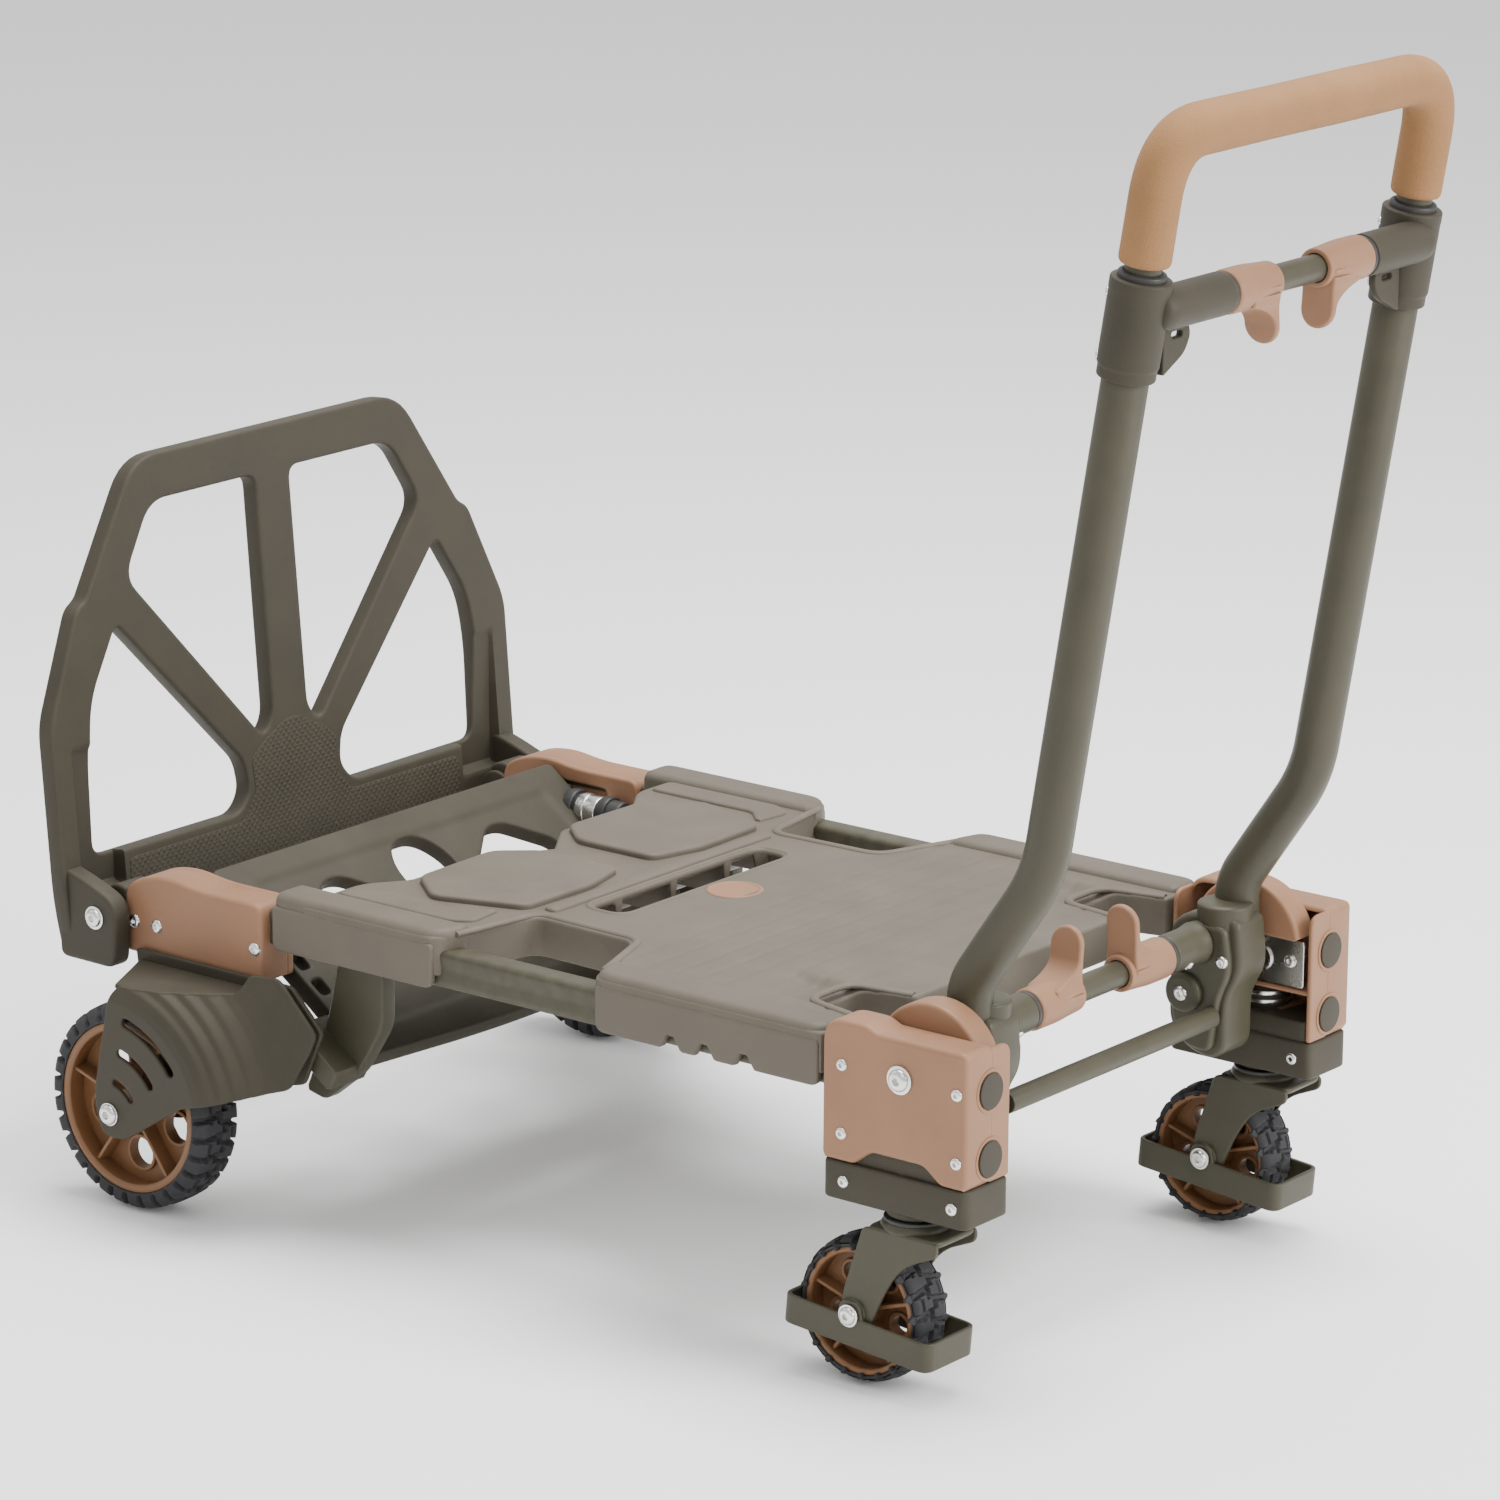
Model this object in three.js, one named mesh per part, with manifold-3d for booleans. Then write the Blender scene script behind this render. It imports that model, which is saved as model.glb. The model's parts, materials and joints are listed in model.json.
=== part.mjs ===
// Folding platform cart: a moulded deck on two side tubes, a toe plate that folds over it, a two-stage
// handle that folds and telescopes, two large wheels under the toe end and two braked casters.
// Millimetres, +X from the toe end to the handle end, +Z up, the floor at z = 0, Y = 0 in the middle.
import * as THREE from 'three';
import { mergeVertices } from 'three/addons/utils/BufferGeometryUtils.js';
import Module from 'manifold-3d';

const wasm = await Module();
wasm.setup();

// Driving dimensions. x runs from the foot of the toe plate until the whole model is centred at the end.
const clearance = 0.35; // left between pieces that touch
const rangeMiddleX = 421.55; // halfway between the lowest and highest x of the finished cart

const deck = {
  top: 231, underside: 213, ridge: 235, skirt: 194.5, halfWidth: 217, toeEdge: 200, handleEdge: 652,
  sleeveFrom: 176, cutoutFrom: 325, cutoutTo: 462,
};
const crossTube = { z: 203, radius: 8.5, at: [['toe', 300], ['handle', 592]] };
const sideTube = { y: 200.8, halfWidth: 10.8, low: 194.8, high: 221, from: 60, to: 653, wall: 2 };
const toePlate = { leanDegrees: 4.86, thickness: 14, leanHeight: 300, earInner: 223.4 };
const toeHinge = { x: 32.6, z: 195, pinRadius: 4 };
const bracket = { from: 42.5, to: 171, low: 169, high: 226, humpHigh: 229, inner: 186.4, outer: 220 };
const housing = { from: 655, to: 769.5, low: 150, high: 241, inner: 172.7, outer: 220, wall: 3.5 };
const block = { low: 123.6, high: 149.6, outer: 219.4 };
const pivot = { x: 717.5, z: 214.7, boltRadius: 6 };
const disc = { radius: 43, inner: 168, outer: 190 };
const arm = { inner: 118, outer: 157.5 };
const handle = { y: 152, tubeRadius: 15, boreRadius: 12.5, leanDegrees: 9.4, bendX: 780.7, bendZ: 362.5 };
const socket = { low: 672.7, high: 736, radius: 19.5, stubRadius: 13.5, stubFrom: 87 };
const loop = { radius: 11.9, legLow: 392, gripLow: 744.5, top: 824, cornerRadius: 52, foamRadius: 17 };
const upperBar = { x: 851, z: 716, radius: 9 };
const lowerBar = { x: 712, z: 224, radius: 9, stubRadius: 13.5 };
const lowerRod = { x: 726, z: 174.4, radius: 7.5 };
const trigger = { inner: 26, outer: 76, radius: 14.5, tongueFrom: 28, tongueTo: 40, tongueHalf: 12.5 };
const bigWheel = { x: 86.2, radius: 74.4, inner: 229, outer: 268, rimRadius: 61, boltRadius: 5 };
const caster = { x: 683, y: 199.2, stemX: 716, radius: 50, halfWidth: 17.3, rimRadius: 42.9, axleRadius: 4 };
const brake = { low: -21, high: -1, back: -54, front: 64, halfWidth: 26.5, wall: 3, tiltDegrees: 4.9 };
const panel = { topX: 91, topZ: 227, footX: 236, footZ: 121, thickness: 14, halfWidth: 183 };
const fenderFace = 284;

const finishes = {
  green: { color: 0x6a6654, roughness: 0.55, metalness: 0.1 },
  deck: { color: 0x7d776b, roughness: 0.7, metalness: 0 },
  tan: { color: 0xb08e6c, roughness: 0.6, metalness: 0 },
  foam: { color: 0xb8946c, roughness: 0.95, metalness: 0 },
  tyre: { color: 0x3a3a3c, roughness: 0.9, metalness: 0 },
  rim: { color: 0x9a7450, roughness: 0.6, metalness: 0 },
  zinc: { color: 0xb9b9b4, roughness: 0.35, metalness: 0.9 },
};

const cart = new THREE.Group();
const sides = [['left', -1], ['right', 1]]; // as seen by someone pushing at the handle
const radians = THREE.MathUtils.degToRad;

// Adds one piece. A side of -1 mirrors geometry that was drawn on the +Y side.
function piece(name, geometry, finish, side = 1) {
  const made = side < 0 ? mirrored(geometry) : outward(geometry);
  const material = new THREE.MeshStandardMaterial(finishes[finish]);
  const mesh = new THREE.Mesh(made, material);
  mesh.name = name;
  cart.add(mesh);
}

function bare(geometry) {
  const copy = geometry.clone();
  for (const name of Object.keys(copy.attributes)) {
    if (name !== 'position') copy.deleteAttribute(name);
  }
  return mergeVertices(copy, 1e-3);
}

function signedVolume(geometry) {
  const at = geometry.attributes.position;
  const [a, b, c] = [new THREE.Vector3(), new THREE.Vector3(), new THREE.Vector3()];
  let total = 0;
  for (let i = 0; i < geometry.index.count; i += 3) {
    a.fromBufferAttribute(at, geometry.index.getX(i));
    b.fromBufferAttribute(at, geometry.index.getX(i + 1));
    c.fromBufferAttribute(at, geometry.index.getX(i + 2));
    total += a.dot(b.cross(c));
  }
  return total;
}

function flipped(geometry) {
  const order = Array.from(geometry.index.array);
  for (let i = 0; i < order.length; i += 3) {
    [order[i + 1], order[i + 2]] = [order[i + 2], order[i + 1]];
  }
  geometry.setIndex(order);
  return geometry;
}

// A merged copy whose faces point out.
function outward(geometry) {
  const merged = bare(geometry);
  return signedVolume(merged) < 0 ? flipped(merged) : merged;
}

function mirrored(geometry) {
  return flipped(outward(geometry).clone().scale(1, -1, 1));
}

function solid(geometry) {
  const merged = outward(geometry);
  const vertProperties = new Float32Array(merged.attributes.position.array);
  const triVerts = new Uint32Array(merged.index.array);
  return new wasm.Manifold(new wasm.Mesh({ numProp: 3, vertProperties, triVerts }));
}

function geometryOf(body) {
  const mesh = body.getMesh();
  const geometry = new THREE.BufferGeometry();
  geometry.setAttribute('position', new THREE.Float32BufferAttribute(mesh.vertProperties, 3));
  geometry.setIndex(Array.from(mesh.triVerts));
  return geometry;
}

const join = (...parts) => geometryOf(parts.map(solid).reduce((sum, part) => sum.add(part)));
const cut = (stock, ...tools) => (
  geometryOf(tools.map(solid).reduce((left, tool) => left.subtract(tool), solid(stock)))
);
const common = (a, b) => geometryOf(solid(a).intersect(solid(b)));

// A closed outline with rounded corners. A point is [u, v] or [u, v, radius].
function outline(points, radius = 0, Kind = THREE.Shape) {
  const shape = new Kind();
  const corners = points.map(([u, v, own]) => ({ at: new THREE.Vector2(u, v), radius: own ?? radius }));
  const count = corners.length;
  corners.forEach(({ at, radius: wanted }, i) => {
    const before = corners[(i + count - 1) % count].at;
    const after = corners[(i + 1) % count].at;
    const room = Math.min(at.distanceTo(before), at.distanceTo(after)) * 0.49;
    const reach = Math.min(wanted, room);
    const into = before.clone().sub(at).setLength(reach).add(at);
    const away = after.clone().sub(at).setLength(reach).add(at);
    if (i === 0) shape.moveTo(into.x, into.y);
    else shape.lineTo(into.x, into.y);
    if (reach > 0) shape.quadraticCurveTo(at.x, at.y, away.x, away.y);
  });
  shape.closePath();
  return shape;
}

function withHoles(shape, holes) {
  shape.holes.push(...holes);
  return shape;
}

const turnToXZ = new THREE.Matrix4().set(1, 0, 0, 0, 0, 0, -1, 0, 0, 1, 0, 0, 0, 0, 0, 1);
const turnToYZ = new THREE.Matrix4().set(0, 0, 1, 0, 1, 0, 0, 0, 0, 1, 0, 0, 0, 0, 0, 1);
const extrude = (shape, depth) => (
  new THREE.ExtrudeGeometry(shape, { depth, bevelEnabled: false, curveSegments: 2 })
);
// Plates drawn in XY, XZ or YZ and carried along the third axis from low to high.
const slabZ = (shape, low, high) => extrude(shape, high - low).translate(0, 0, low);
const slabY = (shape, low, high) => extrude(shape, high - low).applyMatrix4(turnToXZ).translate(0, high, 0);
const slabX = (shape, low, high) => extrude(shape, high - low).applyMatrix4(turnToYZ).translate(low, 0, 0);

function box(x, y, z) {
  const geometry = new THREE.BoxGeometry(x[1] - x[0], y[1] - y[0], z[1] - z[0]);
  return geometry.translate((x[0] + x[1]) / 2, (y[0] + y[1]) / 2, (z[0] + z[1]) / 2);
}

const rodY = (x, z, radius, low, high, facets = 14) => (
  new THREE.CylinderGeometry(radius, radius, high - low, facets).translate(x, (low + high) / 2, z)
);
const rodZ = (x, y, radius, low, high, facets = 14) => (
  new THREE.CylinderGeometry(radius, radius, high - low, facets)
    .rotateX(Math.PI / 2).translate(x, y, (low + high) / 2)
);
const rodX = (y, z, radius, low, high, facets = 14) => (
  new THREE.CylinderGeometry(radius, radius, high - low, facets)
    .rotateZ(Math.PI / 2).translate((low + high) / 2, y, z)
);

// A profile of [radius, y] turned about a Y axis at x, z, with one vertex of each ring straight down.
function turned(x, z, profile, facets) {
  const points = profile.map(([radius, y]) => new THREE.Vector2(radius, y));
  return new THREE.LatheGeometry(points, facets).translate(x, 0, z);
}

function ringShape(radius, boreRadius, facets = 12) {
  const circle = (Kind, size) => {
    const path = new Kind();
    for (let i = 0; i < facets; i += 1) {
      const angle = (2 * Math.PI * i) / facets;
      const [u, v] = [size * Math.cos(angle), size * Math.sin(angle)];
      if (i === 0) path.moveTo(u, v);
      else path.lineTo(u, v);
    }
    path.closePath();
    return path;
  };
  const shape = circle(THREE.Shape, radius);
  return boreRadius ? withHoles(shape, [circle(THREE.Path, boreRadius)]) : shape;
}

// A round tube of ring section carried along a curve.
function pipe(path, radius, boreRadius = 0) {
  const steps = path.stations.length - 1;
  return new THREE.ExtrudeGeometry(ringShape(radius, boreRadius), { steps, extrudePath: path });
}

// ---- deck and side tubes

function deckPanel() {
  const half = [
    [deck.toeEdge + 48, 0], [deck.toeEdge + 22, 38, 4], [deck.toeEdge + 20, 121, 6], [deck.toeEdge, 150, 10],
    [deck.toeEdge, deck.halfWidth, 10], [deck.cutoutFrom, deck.halfWidth, 12], [344, 133, 8], [430, 136, 8],
    [deck.cutoutTo, deck.halfWidth, 8], [deck.handleEdge, deck.halfWidth, 6], [deck.handleEdge, 171],
    [604, 160, 10], [604, 124, 10], [deck.handleEdge, 116.5],
  ];
  const far = half.slice(1).reverse().map(([x, y, radius]) => [x, -y, radius]);
  const plan = slabZ(outline([...half, ...far]), deck.underside, deck.top);
  const sleeves = [];
  const channels = [];
  for (const [, side] of sides) {
    const section = outline([
      [183 * side, deck.skirt + 4], [deck.halfWidth * side, deck.skirt, 3],
      [deck.halfWidth * side, deck.ridge, 8],
      [183 * side, deck.ridge - 3, 8],
    ]);
    sleeves.push(slabX(section, deck.sleeveFrom, deck.cutoutFrom));
    sleeves.push(slabX(section, deck.cutoutTo, deck.handleEdge));
    const room = sideTube.halfWidth + 0.5;
    const across = [sideTube.y * side - room, sideTube.y * side + room];
    const height = [deck.skirt - 10, sideTube.high + 0.5];
    channels.push(box([deck.sleeveFrom - 10, deck.handleEdge + 10], across, height));
  }
  const pads = [1, -1].map((side) => slabZ(outline(
    [[223, 40], [252, 16], [322, 16], [330, 60], [328, 125], [264, 150], [224, 121]]
      .map(([x, y]) => [x, y * side, 4]),
  ), deck.top - 1, deck.ridge + 1));
  const handSlot = slabZ(outline([[356, -92], [385, -92], [385, 92], [356, 92]], 14), 190, 240);
  const badgeSeat = rodZ(410, 0, 20.4, deck.top - 1.5, deck.top + 5, 24);
  const notches = [528, 556, 589].flatMap((x) => sides.map(([, side]) => slabY(
    outline([[x - 7, 190], [x + 7, 190], [x + 3, 203], [x - 3, 203]]),
    side < 0 ? -220 : 211, side < 0 ? -211 : 220,
  )));
  const crossRoom = crossTube.at.map(
    ([, x]) => rodY(x, crossTube.z, crossTube.radius + clearance, -192, 192),
  );
  return cut(join(plan, ...sleeves, ...pads), ...channels, ...crossRoom, handSlot, badgeSeat, ...notches);
}

function sideTubeGeometry() {
  const middle = (sideTube.low + sideTube.high) / 2;
  const section = (inset, Kind) => {
    const [w, low, high] = [sideTube.halfWidth - inset, sideTube.low + inset, sideTube.high - inset];
    const waist = w - 1.6;
    return outline([
      [sideTube.y - w, low, 6], [sideTube.y + w, low, 6], [sideTube.y + waist, middle, 3],
      [sideTube.y + w, high, 6], [sideTube.y - w, high, 6], [sideTube.y - waist, middle, 3],
    ], 0, Kind);
  };
  const shape = withHoles(section(0, THREE.Shape), [section(sideTube.wall, THREE.Path)]);
  return slabX(shape, sideTube.from, sideTube.to);
}

piece('deck_panel', deckPanel(), 'deck');
piece('deck_badge', rodZ(410, 0, 20, deck.top - 1.1, deck.top + 1, 24), 'tan');
for (const [label, side] of sides) piece(`side_tube_${label}`, sideTubeGeometry(), 'green', side);
for (const [label, x] of crossTube.at) {
  const inside = sideTube.y - sideTube.halfWidth - clearance;
  piece(`cross_tube_${label}`, rodY(x, crossTube.z, crossTube.radius, -inside, inside), 'green');
}

// ---- toe end: brackets, hinge pins, toe plate

function toeBracket() {
  const profile = outline([
    [bracket.from, bracket.low, 3], [bracket.to, bracket.low, 3], [bracket.to, bracket.high - 1, 8],
    [108, bracket.high - 1, 20], [86, bracket.humpHigh, 12], [62, bracket.humpHigh - 3, 12],
    [bracket.from, bracket.high - 10, 10],
  ]);
  const body = slabY(profile, bracket.inner, bracket.outer);
  const knuckle = slabY(outline([
    [toeHinge.x - 14, toeHinge.z + 14, 12], [toeHinge.x - 14, toeHinge.z - 14, 12],
    [bracket.from + 5, toeHinge.z - 14], [bracket.from + 5, toeHinge.z + 14],
  ]), 196, 217);
  const channel = box(
    [sideTube.from - 3, bracket.to + 5],
    [sideTube.y - sideTube.halfWidth - clearance, sideTube.y + sideTube.halfWidth + clearance],
    [sideTube.low - clearance, sideTube.high + clearance],
  );
  const window = box([84, 146], [bracket.inner - 5, 191], [178, 216]);
  const pinHole = rodY(toeHinge.x, toeHinge.z, toeHinge.pinRadius + clearance, 190, 220);
  return cut(join(body, knuckle), channel, window, pinHole);
}

function toePlateGeometry() {
  const v = (z) => z - toePlate.leanHeight;
  const half = [
    [236, v(160), 6], [243, v(200), 20], [243, v(326), 10], [208.5, v(402), 4], [198, v(408), 3],
    [140, v(498.5), 20],
  ];
  const foot = [[toePlate.earInner - 3, v(172), 3], [toePlate.earInner, v(160), 3]];
  const far = (points) => [...points].reverse().map(([y, z, radius]) => [-y, z, radius]);
  const upper = [[18.5, v(465), 9], [126, v(465), 14], [156, v(416), 12], [30, v(276), 8], [19, v(289), 8]];
  const lower = [
    [170, v(385), 6], [200, v(337), 10], [205.5, v(300), 20], [202.5, v(226), 9], [61, v(225.5), 9],
    [49, v(240), 6], [52.5, v(262), 8],
  ];
  const holes = [upper, lower].flatMap((hole) => [
    outline(hole, 0, THREE.Path),
    outline(hole.map(([y, z, radius]) => [-y, z, radius]), 0, THREE.Path),
  ]);
  const edge = outline([...foot, ...half, ...far([...foot, ...half])]);
  const plate = slabX(withHoles(edge, holes), -toePlate.thickness, 0)
    .rotateY(-radians(toePlate.leanDegrees)).translate(0, 0, toePlate.leanHeight);
  const parts = [plate];
  for (const [, side] of sides) {
    const ear = slabY(outline([
      [-4, 160, 4], [52, 160, 9], [54, 212, 10], [30, 224, 10], [-2, 330, 8], [-10, 330, 4],
    ]), toePlate.earInner, 239);
    parts.push(side < 0 ? mirrored(ear) : ear);
  }
  const tools = [1, -1].flatMap((side) => {
    const span = (low, high) => [low * side, high * side].sort((a, b) => a - b);
    const pocket = box([-2, 40], span(182, toePlate.earInner), [204, 300]);
    return [
      pocket,
      rodY(toeHinge.x, toeHinge.z, toeHinge.pinRadius + clearance, ...span(210, 260)),
    ];
  });
  return cut(join(...parts), ...tools);
}

function toePin() {
  const head = rodY(toeHinge.x, toeHinge.z, 7, 239 + clearance, 243, 16);
  return join(rodY(toeHinge.x, toeHinge.z, toeHinge.pinRadius, 192, 241, 16), head);
}

for (const [label, side] of sides) {
  piece(`toe_bracket_${label}`, toeBracket(), 'tan', side);
  piece(`toe_pin_${label}`, toePin(), 'zinc', side);
}
piece('toe_plate', toePlateGeometry(), 'green');

// ---- wheel carrier under the toe end

const slopeAngle = Math.atan2(panel.topZ - panel.footZ, panel.footX - panel.topX);
const slopeLength = Math.hypot(panel.footX - panel.topX, panel.topZ - panel.footZ);

// A slab drawn in (distance down the slope, y), then tipped so its top face runs down the slope.
const downSlope = (shape, low, high) => (
  slabZ(shape, low, high).rotateY(slopeAngle).translate(panel.topX, 0, panel.topZ)
);

function carrierPanel() {
  const w = panel.halfWidth;
  const droop = 6;
  const sheet = outline([
    [0, -w, 6], [slopeLength, -w, 4], [slopeLength + droop, 0, 40], [slopeLength, w, 4], [0, w, 6],
  ]);
  const side = (sign) => [[35, 79], [35, 97], [62, 131], [104, 131], [104, 46], [62, 46]].map(
    ([s, y]) => [s, y * sign, 3],
  );
  const arch = [[27, -14, 12], [27, 14, 12], [42, 27, 10], [104, 27, 3], [104, -27, 3], [42, -27, 10]];
  const holes = [side(1), side(-1), arch].map((hole) => outline(hole, 3, THREE.Path));
  return downSlope(withHoles(sheet, holes), -panel.thickness, 0);
}

function brace() {
  const strut = slabY(outline([
    [222, 193.5], [262, 193.5, 4], [262, 150, 10], [238, 112, 8], [208, 88, 4], [190, 92, 4],
    [206, 130, 6], [214, 160, 8],
  ]), 184, 198);
  const foot = slabY(outline([[200, 147], [240, 118], [232, 104], [192, 133]], 3), 184, 221);
  return join(strut, foot);
}

function fender() {
  const axle = [bigWheel.x, bigWheel.radius];
  const face = fenderFace;
  const shell = turned(...axle, [
    [0, face], [84, face], [98, face - 4], [107, face - 12], [111, face - 24], [123, face - 28],
    [126, face - 39],
    [138, face - 43], [141, face - 54], [190, face - 55], [190, face - 58.5], [137.5, face - 58.5],
    [134.5, face - 46.5], [122.5, face - 42.5], [119.5, face - 31.5], [107.5, face - 27.5],
    [103.5, face - 14.5],
    [96, face - 7.5], [83, face - 3.5], [0, face - 3.5],
  ], 36);
  const seen = slabY(outline([
    [86, 158], [71, 84, 20], [78, 58, 14], [98, 57, 12], [153, 92], [214, 107, 3], [231, 147, 3],
    [198, 181, 4],
    [176, 181, 3], [170, 167.5], [94, 167.5],
  ]), 220, face + 2);
  const cheek = slabY(outline([
    [58, 167.5], [70, 84, 20], [78, 58, 14], [98, 57, 12], [153, 92], [214, 107, 3], [231, 147, 3],
    [205, 167.5],
  ]), 221.6, 225.8);
  const roofPlan = outline([[58, 221.6], [170, 221.6], [160, 262, 6], [110, 276, 6], [87, 279]]);
  const roof = slabZ(roofPlan, 164, 167.5);
  const slots = [[24, 2.6], [47, 2.9], [70.5, 3.4]].map(([radius, half]) => {
    const arc = new THREE.Shape();
    arc.absarc(...axle, radius + half, radians(36), radians(77), false);
    arc.absarc(...axle, radius - half, radians(77), radians(36), true);
    return slabY(arc, 270, face + 5);
  });
  const bolt = rodY(...axle, bigWheel.boltRadius + clearance, 210, 300);
  return cut(join(common(shell, seen), cheek, roof), ...slots, bolt);
}

function wheelBolt() {
  const shaft = rodY(bigWheel.x, bigWheel.radius, bigWheel.boltRadius, 218, 286, 16);
  const head = rodY(bigWheel.x, bigWheel.radius, 8, fenderFace + clearance, 288.5, 16);
  return join(shaft, head);
}

function bigRim() {
  const bore = bigWheel.boltRadius + clearance;
  const r = bigWheel.rimRadius - clearance;
  const [inner, outer] = [bigWheel.inner, bigWheel.outer];
  const body = turned(bigWheel.x, bigWheel.radius, [
    [bore, inner - 1], [15, inner - 1], [16, inner + 7], [r - 6, inner + 7], [r - 5, inner + 2],
    [r, inner + 2],
    [r, outer - 1], [r - 5, outer], [r - 6, outer - 7], [16, outer - 7], [15, outer], [bore, outer],
    [bore, inner - 1],
  ], 28);
  const holes = [0, 1, 2, 3, 4].map((i) => {
    const angle = radians(18 + 72 * i);
    const at = [bigWheel.x + 36 * Math.cos(angle), bigWheel.radius + 36 * Math.sin(angle)];
    return rodY(...at, 10, inner, outer, 10);
  });
  return cut(body, ...holes);
}

function tyre(x, radius, seat, inner, outer, facets) {
  const shoulder = 5;
  return turned(x, radius, [
    [seat, inner], [radius - shoulder, inner], [radius, inner + shoulder], [radius, outer - shoulder],
    [radius - shoulder, outer], [seat, outer], [seat, inner],
  ], facets);
}

piece('carrier_panel', carrierPanel(), 'green');
for (const [label, side] of sides) {
  piece(`carrier_brace_${label}`, brace(), 'green', side);
  piece(`fender_${label}`, fender(), 'green', side);
  piece(`wheel_bolt_${label}`, wheelBolt(), 'zinc', side);
  piece(`big_rim_${label}`, bigRim(), 'rim', side);
  const tread = tyre(bigWheel.x, bigWheel.radius, bigWheel.rimRadius, bigWheel.inner, bigWheel.outer, 36);
  piece(`big_tyre_${label}`, tread, 'tyre', side);
}

// ---- handle end: housings, blocks, hinge discs and casters

function handleHousing() {
  const { from, to, low, high, inner, outer, wall } = housing;
  const shell = slabY(outline([
    [from, low], [683, low], [694, low + 11, 2], [735, low + 11, 2], [748, low], [to, low, 2], [to, high, 4],
    [698, high, 2], [694, high + 4, 3], [from, high + 4, 16],
  ]), inner, outer);
  const hollow = slabY(outline([
    [from + wall, low - 20], [to - wall, low - 20], [to - wall, high - wall, 3],
    [from + wall, high - wall, 10],
  ]), inner - 5, outer - wall);
  const discRoom = box([from + 16, to - 5], [inner - 5, disc.outer + 1], [high - 10, high + 20]);
  const boltHole = rodY(pivot.x, pivot.z, pivot.boltRadius + clearance, 205, 230);
  return cut(shell, hollow, discRoom, boltHole);
}

function hingeDisc() {
  const plate = rodY(pivot.x, pivot.z, disc.radius, disc.inner, disc.outer, 28);
  return cut(plate, rodY(pivot.x, pivot.z, pivot.boltRadius + clearance, disc.inner - 5, disc.outer + 5));
}

function casterBlock() {
  const { from, to, inner } = housing;
  const slab = box([from, to], [inner, block.outer], [block.low, block.high]);
  const insideHousing = [inner + 2, housing.outer - housing.wall - 0.6];
  const riser = box([from + 6, to - 6], insideHousing, [block.high - 1, 163]);
  const tube = rodZ(caster.stemX, caster.y, 16, 119.5, 168, 24);
  const bore = rodZ(caster.stemX, caster.y, 8 + clearance, 110, 180, 16);
  return cut(join(slab, riser, tube), bore);
}

function pivotBolt() {
  const shaft = rodY(pivot.x, pivot.z, pivot.boltRadius, 124, 222, 16);
  return join(shaft, rodY(pivot.x, pivot.z, 9, housing.outer + clearance, 226, 16));
}

function casterFork() {
  const { x, y, stemX, halfWidth, axleRadius } = caster;
  const crown = join(
    rodZ(stemX, y, 22, 111, 118, 24),
    box([stemX - 20, stemX + 22], [y - 22.5, y + 22.5], [108, 113]),
  );
  const profile = outline([
    [x - 9, 62, 4], [x - 8, 43, 7], [x + 14, 40, 8], [x + 30, 66, 16], [stemX + 34, 104, 4],
    [stemX + 34, 112, 3],
    [stemX - 26, 112, 3],
  ]);
  const cheeks = [-1, 1].map((side) => {
    const [near, away] = [y + side * (halfWidth + 2.2), y + side * (halfWidth + 5.2)];
    return slabY(profile, Math.min(near, away), Math.max(near, away));
  });
  const roof = box([stemX - 24, stemX + 34], [y - 22.5, y + 22.5], [107, 111.5]);
  const stem = rodZ(stemX, y, 8, 115, 160, 16);
  const axle = rodY(x, caster.radius, axleRadius, y - 29, y + 29, 16);
  return join(crown, ...cheeks, roof, stem, axle);
}

function casterRim() {
  const { x, y, radius, halfWidth } = caster;
  const bore = caster.axleRadius + clearance;
  const r = caster.rimRadius - clearance;
  const webHalf = halfWidth - 4;
  return turned(x, radius, [
    [bore, y - halfWidth], [11, y - halfWidth], [12, y - webHalf], [r - 5, y - webHalf],
    [r - 4, y - halfWidth + 1],
    [r, y - halfWidth + 1], [r, y + halfWidth - 1], [r - 4, y + halfWidth - 1], [r - 5, y + webHalf],
    [12, y + webHalf], [11, y + halfWidth], [bore, y + halfWidth], [bore, y - halfWidth],
  ], 24);
}

function brakeLoop() {
  const { low, high, back, front, halfWidth, wall } = brake;
  const ring = cut(
    box([back, front], [-halfWidth, halfWidth], [low, high]),
    box([back + wall, front - wall], [-halfWidth + wall, halfWidth - wall], [low - 5, high + 5]),
  );
  const lobes = [-1, 1].map((side) => {
    const faces = [side * halfWidth, side * (halfWidth - wall)].sort((a, b) => a - b);
    return slabY(outline([[-9, -12], [9, -12], [8, 8, 7], [-8, 8, 7]]), ...faces);
  });
  const bore = rodY(0, 0, caster.axleRadius + clearance, -40, 40);
  const lobed = cut(join(ring.rotateY(radians(brake.tiltDegrees)), ...lobes), bore);
  return lobed.translate(caster.x, caster.y, caster.radius);
}

for (const [label, side] of sides) {
  piece(`handle_housing_${label}`, handleHousing(), 'tan', side);
  piece(`hinge_disc_${label}`, hingeDisc(), 'tan', side);
  piece(`caster_block_${label}`, casterBlock(), 'green', side);
  piece(`pivot_bolt_${label}`, pivotBolt(), 'zinc', side);
  for (const [height, z] of [['upper', 211.7], ['lower', 166.5]]) {
    const pad = rodX(194.5, z, 12.5, housing.to + clearance, housing.to + 2, 20);
    piece(`bumper_${height}_${label}`, pad, 'green', side);
  }
  piece(`caster_fork_${label}`, casterFork(), 'green', side);
  piece(`caster_rim_${label}`, casterRim(), 'rim', side);
  const { x, y, radius, rimRadius, halfWidth } = caster;
  piece(`caster_tyre_${label}`, tyre(x, radius, rimRadius, y - halfWidth, y + halfWidth, 32), 'tyre', side);
  piece(`caster_brake_${label}`, brakeLoop(), 'green', side);
}

// ---- handle: arms, uprights, sockets, crossbars, telescoping loop and grip

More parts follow.
